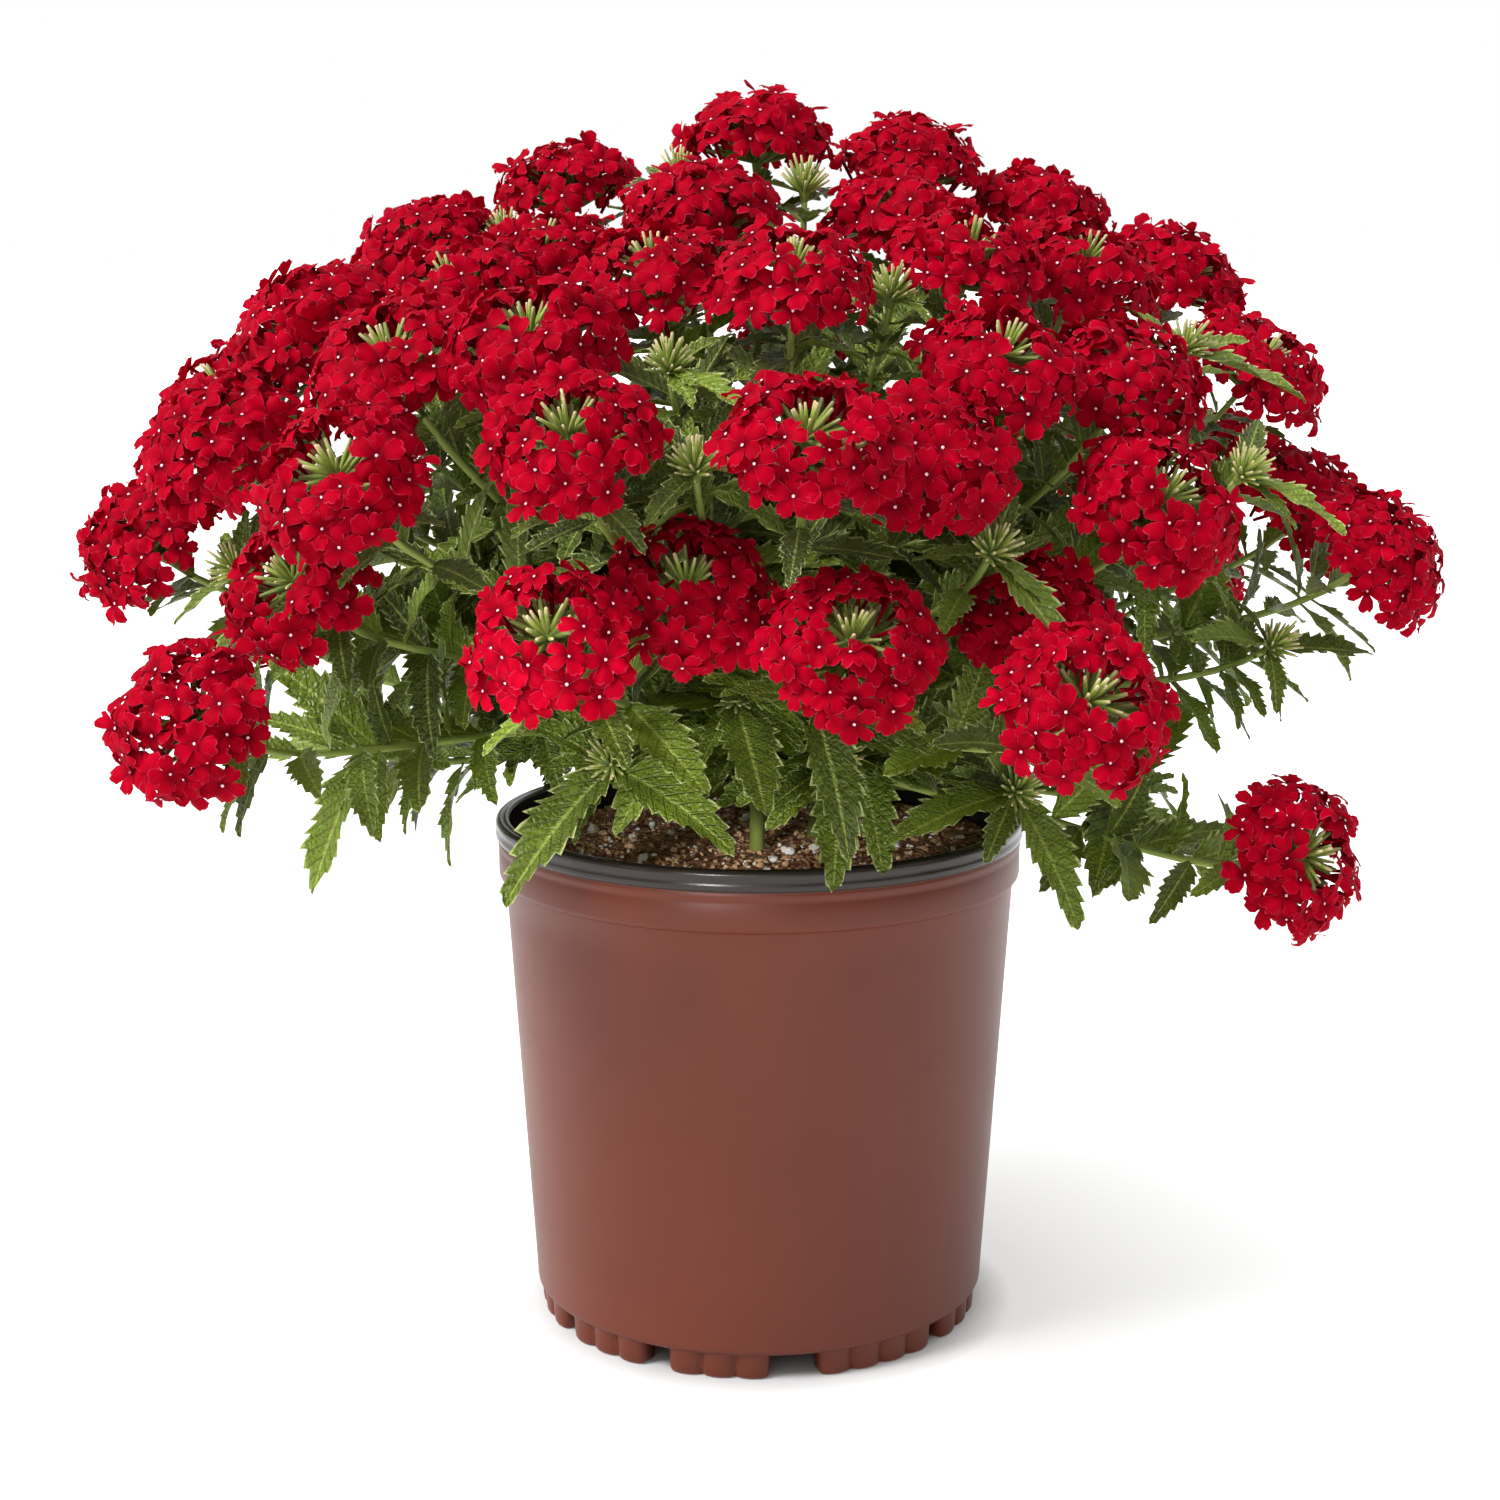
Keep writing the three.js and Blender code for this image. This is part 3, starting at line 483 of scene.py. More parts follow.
CROWN = np.array([0.0, 0.0, 150.0])
UP = np.array([0.0, 0.0, 1.0])
FRONT = np.array([0.0, -1.0, 0.0])
UPLIFT, SUNWARD = 0.42, 0.7
SHOOTS = [
    {
        "name": "right", "from": -49, "to": 45, "open": (3, 4, 7, 9, 12, 14, 16),
        "heads": [
            (32, 75, 215), (341, 77, 195), (317, 66, 195), (345, 61, 200), (25, 63, 215), (15, 52, 220),
            (1, 44, 210), (327, 50, 190), (317, 38, 185), (3, 31, 199), (347, 27, 208), (329, 5, 175),
            (39, 48, 205), (22, 33, 205), (36, 22, 200), (40, 10, 165),
        ],
        "buds": [
            (319, 85, 205), (339, 50, 206), (327, 38, 203), (342, 24, 175), (20, 20, 120), (345, 12, 118),
        ],
    },
    {
        "name": "back", "from": 45, "to": 135, "open": (3, 5, 8),
        "heads": [
            (94, 87, 215), (60, 64, 210), (105, 63, 205), (84, 50, 200), (126, 48, 205),
            (110, 31, 190), (78, 32, 205), (52, 33, 200), (78, 12, 175),
        ],
        "buds": [(95, 14, 128), (74, 26, 115)],
    },
    {
        "name": "left", "from": 135, "to": 225, "open": (2, 4, 6, 7, 10, 13, 15),
        "heads": [
            (143, 69, 215), (185, 70, 190), (170, 60, 210), (208, 60, 195), (196, 50, 210), (221, 49, 200),
            (184, 41, 210), (203, 38, 210), (192, 28, 209), (219, 30, 185), (220, 17, 205), (152, 48, 205),
            (162, 34, 205), (142, 29, 195), (150, 16, 200),
        ],
        "buds": [(198, 83, 208), (169, 67, 206), (206, 30, 192), (181, 14, 130)],
    },
    {
        "name": "front", "from": 225, "to": 311, "open": (2, 3, 4, 5, 6, 7, 9, 10, 11, 12, 13),
        "heads": [
            (242, 79, 195), (248, 66, 190), (275, 60, 200), (241, 52, 200), (304, 53, 190), (253, 40, 210),
            (274, 40, 210), (289, 44, 185), (231, 36, 210), (252, 27, 190), (262, 35, 164), (278, 28, 180),
            (295, 21, 200), (305, 32, 155),
        ],
        "buds": [
            (258, 53, 195), (263, 43, 192), (295, 37, 180), (297, 65, 192),
            (244, 24, 107), (266, 33, 119), (285, 27, 103), (305, 17, 131),
        ],
    },
]


def heading(azimuth, elevation):
    """Unit vectors from azimuths round Z and elevations above the floor, in degrees."""
    a, e = np.radians(azimuth), np.radians(elevation)
    return np.stack([np.cos(e) * np.cos(a), np.cos(e) * np.sin(a), np.sin(e) + 0 * a], -1)


def placed(azimuth, elevation, distance):
    """The middle of a head or bud cluster, CROWN + distance out, and the way it faces: outwards, up by
    0.42, and towards the light in front by 0.7 |x| of the way out, so mostly at the two sides."""
    out = heading(azimuth, elevation)
    return CROWN + distance * out, unit(out + UPLIFT * UP + SUNWARD * abs(out[0]) * FRONT)


head_places = [placed(*spot) for shoot in SHOOTS for spot in shoot["heads"]]
HEAD_MIDDLES, HEAD_AXES = np.array(head_places).transpose(1, 0, 2)

# ---- Flower heads -----------------------------------------------------------------------------------
# Each head is a dome of five-petalled florets on thin tubes from a short spike, with green calyces, and
# sits on the tip of its stem. The velvety red petals have a darker throat and a pale eye. Open heads
# show unopened buds in the middle.

HEAD_WIDTH, HEAD_RISE, SEAT_DROP = 21.4, 14.8, 8.6
EYE_RADIUS = 0.066  # of the floret's radius, about 0.4 mm
PETAL, EYE, CALYX = 0, 1, 2


def rod(line, radii, sides, marks, slot):
    """A rod along a line of points, closed by a point at its end. Each row is a ring square to the line,
    p + r (side cos a + other sin a), with one radius, or one for each side."""
    along = unit(np.gradient(line, axis=0))
    # the sides start square to a direction that no rod of the plant follows
    side = unit(np.cross(along, [0.31, 0.52, 0.79]))
    other = np.cross(along, side)
    angle = np.arange(sides) * 2 * math.pi / sides
    ring = side[:, None] * np.cos(angle)[:, None] + other[:, None] * np.sin(angle)[:, None]
    points = (line[:, None] + ring * np.reshape(radii, (len(line), -1, 1))).reshape(-1, 3)
    rows = len(line)
    tip = line[-1] + along[-1] * np.mean(radii[-1]) * 0.6
    k = np.arange(sides)
    cap = np.stack([k + (rows - 1) * sides, (k + 1) % sides + (rows - 1) * sides, k * 0 + rows * sides], -1)
    triangles = np.concatenate([grid_triangles(rows, sides, closed=True), cap])
    kept = np.concatenate([np.repeat(marks, sides, 0), marks[-1:]])
    return np.concatenate([points, [tip]]), triangles, kept, np.full(len(triangles), slot)


def floret(seed):
    """An open floret of radius 1 about its throat, facing +Z, on a tube.

    A petal runs from u = 0 at the throat to u = 1, and across it v goes from -1 to 1. Its half width is
    W(u) = 0.08 + 0.34 sin(pi/2 min(u / 0.78, 1))^1.4 (1 - 0.35 u^6). Its tip is cut back by
    n exp(-(v / 0.24)^2) u^4 in the notch and by 0.22 v^4 u^4 at the corners. It rises out of the throat,
    arches down to its tip, and each petal lies with one edge over its neighbour.
    """
    draw = np.random.default_rng(seed)
    u = np.array([0.0, 0.42, 0.8, 1.0])[:, None]
    v = np.array([-1, -0.8, -0.4, 0, 0.4, 0.8, 1])[None, :]
    sheets = []
    for k in range(5):
        size = draw.uniform(0.88, 1.08)
        broad = draw.uniform(0.31, 0.37) * np.sin(math.pi / 2 * np.minimum(u / 0.78, 1)) ** 1.4
        half = 0.08 + broad * (1 - 0.35 * u**6)
        notch = draw.uniform(0.05, 0.14)
        reach = 0.04 + 0.96 * u - u**4 * (notch * np.exp(-(v / 0.24) ** 2) + 0.22 * v**4)
        across = half * v
        lift, droop = draw.uniform(0.0, 0.4), draw.uniform(0.1, 0.62)
        fold, over = draw.uniform(-0.16, 0.3), draw.uniform(0.03, 0.1)
        ripple = 0.06 * np.sin(4.2 * v + draw.uniform(0, 6)) * u**2
        arch = -0.1 * (1 - u) ** 3 + lift * u - droop * u**2
        z = arch - fold * np.abs(v) ** 1.5 * u + over * v * u + ripple
        angle = (k + draw.uniform(-0.08, 0.08)) * 2 * math.pi / 5
        x = size * (reach * math.cos(angle) - across * math.sin(angle))
        y = size * (reach * math.sin(angle) + across * math.cos(angle))
        points = np.stack([x, y, z + 0 * x], -1).reshape(-1, 3)
        marks = np.stack([u + 0 * v, v + 0 * u, 0 * u * v + draw.uniform()], -1).reshape(-1, 3)
        triangles = grid_triangles(u.size, v.size)
        sheets.append((points, triangles, marks, np.full(len(triangles), PETAL)))
    angle = np.arange(6) * math.pi / 3
    eye = np.stack([EYE_RADIUS * np.cos(angle), EYE_RADIUS * np.sin(angle), 0 * angle - 0.03], -1)
    eye = np.concatenate([eye, [[0, 0, 0.02]]])
    k = np.arange(6)
    fan = np.stack([k, (k + 1) % 6, k * 0 + 6], -1)
    sheets.append((eye, fan, np.zeros((7, 3)), np.full(6, EYE)))
    tube_marks = np.array([[-0.2, 0, 0.5]] * 2)
    tube = rod(np.array([[0, 0, -1.5], [0, 0, -0.09]]), [0.08, 0.12], 4, tube_marks, PETAL)
    return joined(sheets + [tube])


FLORETS = [floret(40 + k) for k in range(8)]


def facing(normals, spins):
    """For each unit normal, a turn whose rows are the directions of X, Y and Z, spun about Z."""
    helper = np.where(np.abs(normals[:, 2:]) > 0.9, [1.0, 0, 0], [0, 0, 1.0])
    side = unit(np.cross(helper, normals))
    other = np.cross(normals, side)
    cos, sin = np.cos(spins)[:, None], np.sin(spins)[:, None]
    return np.stack([side * cos + other * sin, other * cos - side * sin, normals], 1)


def leaning(tilt, turn):
    """The unit vector that leans from +Z by a tilt, towards a turn round Z."""
    return np.array([math.sin(tilt) * math.cos(turn), math.sin(tilt) * math.sin(turn), math.cos(tilt)])


def finger(base, direction, length, radius, luck, bend, sides=5):
    """An unopened bud or a calyx: a thin finger that bends a little, by bend s^2, and narrows to a blunt
    tip."""
    s = np.array([[0.0], [0.4], [1.0]])
    line = base + direction * length * s + bend * s * s
    radii = radius * np.array([0.7, 1.0, 0.6])
    marks = np.concatenate([s, 0 * s, 0 * s + luck], -1)
    return rod(line, radii, sides, marks, CALYX)


def flower_head(is_open, seed):
    """A head about its own middle, facing +Z, in millimetres.

    Florets stand on rings at polar angles t from the axis, at (R sin t, H cos t), and face 0.7 t. A ring
    is (t, number of florets), and a floret's radius is 5.8 to 7 mm. Calyces reach from the spike towards
    the florets, and buds stand on it.
    """
    draw = np.random.default_rng(seed)
    size = draw.uniform(0.96, 1.05)
    rings = [(39, 10), (62, 14), (85, 16)] if is_open else [(3, 1), (26, 7), (47, 11), (67, 13), (87, 14)]
    polar = np.concatenate([np.full(n, t, float) for t, n in rings])
    turn = np.concatenate([(np.arange(n) + draw.uniform()) * 2 * math.pi / n for _, n in rings])
    polar = np.radians(np.maximum(polar + draw.normal(0, 4.0, len(polar)), 0))
    turn = turn + draw.normal(0, 0.1, len(turn))
    far = size * (1 + draw.uniform(-0.11, 0.09, len(polar)))
    flat = np.stack([np.cos(turn), np.sin(turn), 0 * turn], -1)
    dome = HEAD_WIDTH * np.sin(polar)[:, None] * flat + HEAD_RISE * np.cos(polar)[:, None] * UP
    centres = far[:, None] * dome
    lean = 0.7 * polar + draw.normal(0, 0.24, len(polar))
    normals = unit(np.sin(lean)[:, None] * flat + np.cos(lean)[:, None] * UP)
    normals = unit(normals + draw.normal(0, 0.2, normals.shape))
    frames = facing(normals, draw.uniform(0, 2 * math.pi, len(polar)))
    scales = draw.uniform(5.8, 7.0, len(polar)) * size
    kinds = draw.integers(0, len(FLORETS), len(polar))
    sheets = []
    for centre, turned_by, scale, kind in zip(centres, frames, scales, kinds):
        points, triangles, marks, slots = FLORETS[kind]
        marks = marks + [0, 0, draw.uniform(-0.4, 0.4)]
        sheets.append((points * scale @ turned_by + centre, triangles, marks, slots))
    spike = np.array([[0, 0, -SEAT_DROP - 0.8], [0, 0, -4.0], [0, 0, 1.0], [0, 0, 4.5]])
    sheets.append(rod(spike, [1.3, 2.0, 2.4, 1.6], 7, np.full((4, 3), 0.3), CALYX))
    for centre in centres:
        foot = np.array([0, 0, np.clip(centre[2] - 9, -6, 3)])
        way = unit(centre - foot)
        reach = np.linalg.norm(centre - foot) * 0.62
        sheets.append(finger(foot + way, way, reach, 0.95, draw.uniform(0.1, 0.5), draw.normal(0, 0.4, 3), 4))
    for k in range(int(draw.integers(9, 13)) if is_open else 0):
        tilt, round_to = math.radians(draw.uniform(4, 18) + 19 * (k % 3)), k * 2.4 + draw.uniform(0, 0.6)
        way = leaning(tilt, round_to)
        sheets.append(finger(np.array([0, 0, 3.5]) + way * 1.5, way, draw.uniform(7.5, 10.5),
                             draw.uniform(0.55, 0.8), draw.uniform(0.4, 1),
                             -way * [1, 1, 0] * draw.uniform(0, 1.5)))
    return joined(sheets)


def petal_material():
    """Verbena petals: velvety, so a deep red with a faint pink nap in place of a shine. The throat is
    dark, partly the petals' own deeper red and partly painted shade in its hollow. The pale rim is a
    painted highlight along the edges and tip, and some light comes through.

    Darker patches are 6 mm wide, 1000 / 170. Ribs run from throat to tip, 26 / pi or about 8 across a
    petal of 5 mm: real ones are twice as fine, too fine to show.
    """
    material, tree, shader = new_material(
        "red_petal", Roughness=0.55, Sheen_Weight=0.08, Sheen_Roughness=0.3, Specular_IOR_Level=0.02,
        Sheen_Tint=linear("#ff3474"))
    marks = add_node(tree, "ShaderNodeAttribute", attribute_name="marks").outputs["Vector"]
    parts = add_node(tree, "ShaderNodeSeparateXYZ", {"Vector": marks}).outputs
    # darker towards the throat: partly the petals' own deeper red, partly painted shade in the hollow
    throat = add_node(tree, "ShaderNodeMapRange", {"Value": parts["X"], "From Min": 0.05, "From Max": 0.5},
                      interpolation_type="SMOOTHSTEP").outputs["Result"]
    tint = add_node(tree, "ShaderNodeMix", {"Factor": throat, "A": linear("#420009"), "B": linear("#a2001c")},
                    data_type="RGBA").outputs["Result"]
    luck = add_node(tree, "ShaderNodeMapRange",
                    {"Value": parts["Z"], "From Min": -0.4, "From Max": 1.4, "To Max": 0.6})
    place = add_node(tree, "ShaderNodeTexCoord").outputs["Object"]
    mottle = add_node(tree, "ShaderNodeTexNoise", {"Vector": place, "Scale": 170, "Detail": 3}).outputs["Fac"]
    patch = add_node(tree, "ShaderNodeMapRange",
                     {"Value": mottle, "From Min": 0.35, "From Max": 0.7, "To Max": 0.6})
    # painted highlight: a pale pink line along each petal's edges and tip, from the mask below
    side = add_node(tree, "ShaderNodeMath", {0: parts["Y"]}, operation="ABSOLUTE").outputs[0]
    nearest = add_node(tree, "ShaderNodeMath", {0: side, 1: parts["X"]}, operation="MAXIMUM").outputs[0]
    rim = add_node(tree, "ShaderNodeMapRange",
                   {"Value": nearest, "From Min": 0.93, "From Max": 1.0, "To Max": 0.27})
    for factor, colour in ((luck, "#c00026"), (patch, "#74000d"), (rim, "#ee5c80")):
        tint = add_node(tree, "ShaderNodeMix",
                        {"Factor": factor.outputs["Result"], "A": tint, "B": linear(colour)},
                        data_type="RGBA").outputs["Result"]
    tree.links.new(tint, shader.inputs["Base Color"])
    ribs = add_node(tree, "ShaderNodeMath", {0: parts["Y"], 1: 26.0}, operation="MULTIPLY").outputs[0]
    wave = add_node(tree, "ShaderNodeMath", {0: ribs}, operation="SINE").outputs[0]
    bump = add_node(tree, "ShaderNodeBump", {"Height": wave, "Strength": 0.2, "Distance": 0.0002})
    tree.links.new(bump.outputs["Normal"], shader.inputs["Normal"])
    glow = add_node(tree, "ShaderNodeBsdfTranslucent", {"Color": linear("#c4001c")})
    through = add_node(tree, "ShaderNodeMixShader", {0: 0.2, 1: shader.outputs[0], 2: glow.outputs[0]})
    tree.links.new(through.outputs[0], tree.nodes["Material Output"].inputs["Surface"])
    return material


def bud_material():
    """Downy green calyces and buds, paler towards their tips. The down blurs their shine: its hairs are a
    tenth of a millimetre apart, too fine to show, so it is drawn at 0.7 mm, 1000 / 1400."""
    material, tree, shader = new_material("calyx", Roughness=0.7, Sheen_Weight=0.08)
    marks = add_node(tree, "ShaderNodeAttribute", attribute_name="marks").outputs["Vector"]
    parts = add_node(tree, "ShaderNodeSeparateXYZ", {"Vector": marks}).outputs
    green = add_node(tree, "ShaderNodeMix",
                     {"Factor": parts["Z"], "A": linear("#52661a"), "B": linear("#96a440")},
                     data_type="RGBA").outputs["Result"]
    tip = add_node(tree, "ShaderNodeMapRange", {"Value": parts["X"], "From Min": 0.7, "From Max": 1.0})
    amount = add_node(tree, "ShaderNodeMath", {0: tip.outputs["Result"], 1: parts["Z"]}, operation="MULTIPLY")
    tint = add_node(tree, "ShaderNodeMix", {"Factor": amount.outputs[0], "A": green, "B": linear("#ccb692")},
                    data_type="RGBA").outputs["Result"]
    tree.links.new(tint, shader.inputs["Base Color"])
    place = add_node(tree, "ShaderNodeTexCoord").outputs["Object"]
    down = add_node(tree, "ShaderNodeTexNoise", {"Vector": place, "Scale": 1400}).outputs["Fac"]
    bump = add_node(tree, "ShaderNodeBump", {"Height": down, "Strength": 0.4, "Distance": 0.0004})
    tree.links.new(bump.outputs["Normal"], shader.inputs["Normal"])
    return material


red_petal = petal_material()
calyx = bud_material()
# The hairs that close a floret's throat: a matt, pinkish white dot.
pale_eye = new_material("floret_eye", Base_Color=linear("#e8bcc2"), Roughness=0.6)[0]


def turned_to(axis):
    """The shortest turn from +Z to an axis, whose rows are where X, Y and Z go."""
    x, y, z = axis
    return np.array([
        [1 - x * x / (1 + z), -x * y / (1 + z), -x],
        [-x * y / (1 + z), 1 - y * y / (1 + z), -y],
        [x, y, z],
    ])


for number, shoot in enumerate(SHOOTS):
    for k, spot in enumerate(shoot["heads"], start=1):
        middle, axis = placed(*spot)
        points, triangles, marks, slots = flower_head(k in shoot["open"], 1000 * number + k)
        name = f"{shoot['name']}_{k:02d}"
        sheet = (points @ turned_to(axis) + middle, triangles, marks, slots)
        new_piece(f"flower_head_{name}", sheet, [red_petal, pale_eye, calyx], "petals", f"head_{name}")

# ---- Leafy shoots -----------------------------------------------------------------------------------
# Four square main stems, rooted in the soil, branch to every head. Toothed, folded leaves with sunken
# veins stand in pairs on the stems and round the bud clusters, where the CAD model has them, with smaller
# ones between.

STEM_OFFSET, STEM_SIDE, STEM_DEPTH, STEM_TOP, TWIG_RADIUS = 17.0, 4.0, 42.0, 66.0, 1.35
BUD_LENGTH, TUFT, GOLDEN_ANGLE = 11.0, 38, 2.39996
LEAF_LENGTH, LEAF_ASPECT, LEAF_SETBACK, FOLD = 46.0, 0.38, 0.4, 0.35
HEAD_CLEARANCE, RIM_CLEARANCE, LOW_HEAD, LOW_BUD = 24.5, 2.0, 31, 140
JOINTS = (1 / 3, 2 / 3)
TOOTHED = 0.84  # the share of a leaf's length that has teeth
STEM, LEAF, BUD = 0, 1, 2


def seeded(seed):
    """The CAD model's own draws from 0 to 1, in 32-bit whole numbers."""
    state, mask = seed, 0xFFFFFFFF

    def draw():
        nonlocal state
        state = (state + 0x6D2B79F5) & mask
        mixed = ((state ^ (state >> 15)) * (1 | state)) & mask
        mixed = ((mixed + (mixed ^ (mixed >> 7)) * (61 | mixed)) & mask) ^ mixed
        return ((mixed ^ (mixed >> 14)) & mask) / 4294967296

    return draw


def main_line(shoot):
    """The line of a main stem, from its buried end upwards and outwards: a centripetal spline through
    six points, which are listed as (outwards, up) from where it leaves the soil."""
    middle = (shoot["from"] + shoot["to"]) / 2
    out = heading(middle, 0)
    foot = STEM_OFFSET * out + (SOIL_EDGE + 1) * UP
    steps = [(0, -STEM_DEPTH), (0, -STEM_DEPTH / 2), (0, 0),
             (3, STEM_TOP * 0.35), (9, STEM_TOP * 0.7), (14, STEM_TOP)]
    knots = np.array([foot + a * out + b * UP for a, b in steps])
    padded = np.concatenate([[2 * knots[0] - knots[1]], knots, [2 * knots[-1] - knots[-2]]])

    def point(t):
        """The place at a share of the line: a cubic between two knots, with slopes from all four."""
        place = t * (len(knots) - 1)
        k = min(int(place), len(knots) - 2)
        w = place - k
        a, b, c, d = padded[k:k + 4]
        before, span, after = [np.sqrt(np.linalg.norm(q - p)) for p, q in ((a, b), (b, c), (c, d))]
        start = ((b - a) / before - (c - a) / (before + span) + (c - b) / span) * span
        end = ((c - b) / span - (d - b) / (span + after) + (d - c) / after) * span
        return b + start * w + (3 * (c - b) - 2 * start - end) * w**2 + (2 * (b - c) + start + end) * w**3

    return point


def bezier(controls, t):
    """Points of a cubic Bezier curve: a (1 - t)^3 + 3 b t (1 - t)^2 + 3 c t^2 (1 - t) + d t^3."""
    a, b, c, d = controls
    t = np.asarray(t, float)[..., None]
    return a * (1 - t) ** 3 + 3 * b * t * (1 - t) ** 2 + 3 * c * t**2 * (1 - t) + d * t**3


def even_line(controls):
    """A side stem's line as a function of the share of its length."""
    steps = np.linspace(0, 1, 201)
    parts = np.linalg.norm(np.diff(bezier(controls, steps), axis=0), axis=1)
    lengths = np.concatenate([[0], np.cumsum(parts)])
    return lambda way: bezier(controls, np.interp(np.asarray(way) * lengths[-1], lengths, steps))


def side_stem(spot, is_head, main):
    """The line from the main stem to the underside of a head or bud cluster: a Bezier curve that sets
    out between straight up and straight to its end, and arrives along the head's axis."""
    middle, axis = placed(*spot)
    out = heading(spot[0], spot[1])
    start = main(0.5 + 0.45 * out[2])
    end = middle - axis * (SEAT_DROP + GAP if is_head else BUD_LENGTH / 2)
    span = np.linalg.norm(end - start)
    lean = unit(unit(end - start) + 0.4 * UP)
    return even_line([start, start + lean * span * 0.35, end - axis * span * 0.3, end])


def tangent_at(line, way):
    """The direction of a line at a share of its length, from the places just before and after."""
    return unit(line(way + 0.01) - line(way - 0.01))


def blade_points(blade, way, across, lift):
    """Points of a leaf: the edges rise 0.35 of the half width over the midrib, and the blade bends
    down by bend * length * way^2."""
    foot, along, face, length, width, bend = blade
    way, across, lift = np.broadcast_arrays(way, across, lift)
    half = across * width / 2
    rise = np.abs(half) * FOLD - bend * length * way**2 + lift
    side = np.cross(along, face)
    return foot + (length * way)[..., None] * along + half[..., None] * side + rise[..., None] * face


def is_clear(points, shoot, is_extra):
    """Whether points keep clear of the heads, the pot, the soil and the neighbouring quarters. Extra
    leaves may stand right under a head and among other shoots, but not hang before the soil."""
    apart = points[:, None] - HEAD_MIDDLES
    distance = np.linalg.norm(apart, axis=-1)
    far = np.hypot(points[:, 0], points[:, 1])
    if is_extra:
        # the florets of every head stay free, and 13 to 27 mm above the soil in front, 7 mm behind
        above = (apart * HEAD_AXES).sum(-1)
        lowest = SOIL_EDGE + np.where(points[:, 1] < 8, 13 + 14 * np.minimum(far / 60, 1), 7)
        hits = (distance < 20) & (above > -7) | (distance < 9)
        return not hits.any() and bool(((points[:, 2] > lowest) | (far > RIM_RADIUS + 10)).all())
    if (distance < HEAD_CLEARANCE).any():
        return False
    in_mouth = far < inner_radius(SOIL_EDGE) - 6
    floor = np.where(in_mouth, SOIL_EDGE + SOIL_HUMP + RIM_CLEARANCE, POT_HEIGHT + RIM_CLEARANCE)
    if ((far < RIM_RADIUS + RIM_CLEARANCE) & (points[:, 2] < floor)).any():
        return False
    turn = np.degrees(np.arctan2(points[:, 1], points[:, 0])) - (shoot["from"] + shoot["to"]) / 2
    aside = np.abs((turn + 540) % 360 - 180)
    spare = np.minimum((shoot["to"] - shoot["from"]) / 2 - aside, 90)
    return bool((far * np.sin(np.radians(spare)) > 1.2).all())


def leaf_at(foot, tangent, turn, spread, size, shoot, draw, is_extra=False):
    """A leaf on a stem, turned away from the stem's direction by a spread, its face between that
    direction and straight up. It gets shorter in two steps where it has no room, and then there is none."""
    flat = unit(np.array([-tangent[1], tangent[0], 1e-6]))
    third = unit(np.cross(tangent, flat))
    turn, spread = math.radians(turn), math.radians(spread)
    away = flat * math.cos(turn) + third * math.sin(turn)
    along = unit(away * math.sin(spread) + tangent * math.cos(spread))
    up = tangent + 1.2 * UP
    face = unit(up - along * (up @ along))
    bend = 0.1 + 0.22 * draw()
    aspect = LEAF_ASPECT * (0.9 + 0.2 * draw()) * (0.94 if is_extra else 1)
    full = size * (0.88 + 0.24 * draw())
    root = foot + along * LEAF_SETBACK
    ways = np.arange(3, 13) / 12
    half = np.where(ways < 1, 0.9, 0)
    for part in (1, 0.84, 0.7):
        length = full * part
        blade = (root, along, face, length, length * aspect, bend)
        points = np.concatenate([blade_points(blade, ways, side * half, 0) for side in (-1, 0, 1)])
        if is_clear(points, shoot, is_extra):
            return blade
    return None


def pairs_along(line, joints, size, spread, shoot, draw):
    """Leaves in pairs along a side stem, each pair turned a quarter from the last."""
    start = draw() * 90
    return [
        leaf_at(line(way), tangent_at(line, way), start + 90 * k + half, spread, size, shoot, draw)
        for k, way in enumerate(joints) for half in (0, 180)
    ]


def extra_leaves(line, joints, size, shoot, draw):
    """The many other leaves of a stem: pairs at its joints, with lengths that fall as 0.9 - 0.4 w^1.5
    towards the head. They hang only from the stems at the two sides."""
    start = draw() * 90
    blades = []
    for k, way in enumerate(joints):
        for half in (0, 180):
            turn, spread = start + 90 * k + half + 30 * draw(), 48 + 30 * draw()
            length = size * (0.9 - 0.4 * way**1.5)
            blades.append(leaf_at(line(way), tangent_at(line, way), turn, spread, length, shoot, draw, True))
    steepest = -0.8 if abs(line(1.0)[0]) > 120 else -0.35
    return [blade for blade in blades if blade is not None and blade[1][2] > steepest]


def whorl(spot, count, size, shoot, draw, is_extra=False):
    """Leaves all round the foot of a bud cluster, 360 / count degrees apart."""
    middle, axis = placed(*spot)
    foot = middle - axis * BUD_LENGTH / 2
    start = draw() * 360
    return [
        leaf_at(foot, axis, start + k * 360 / count, 66 + 14 * draw(), size, shoot, draw, is_extra)
        for k in range(count)
    ]


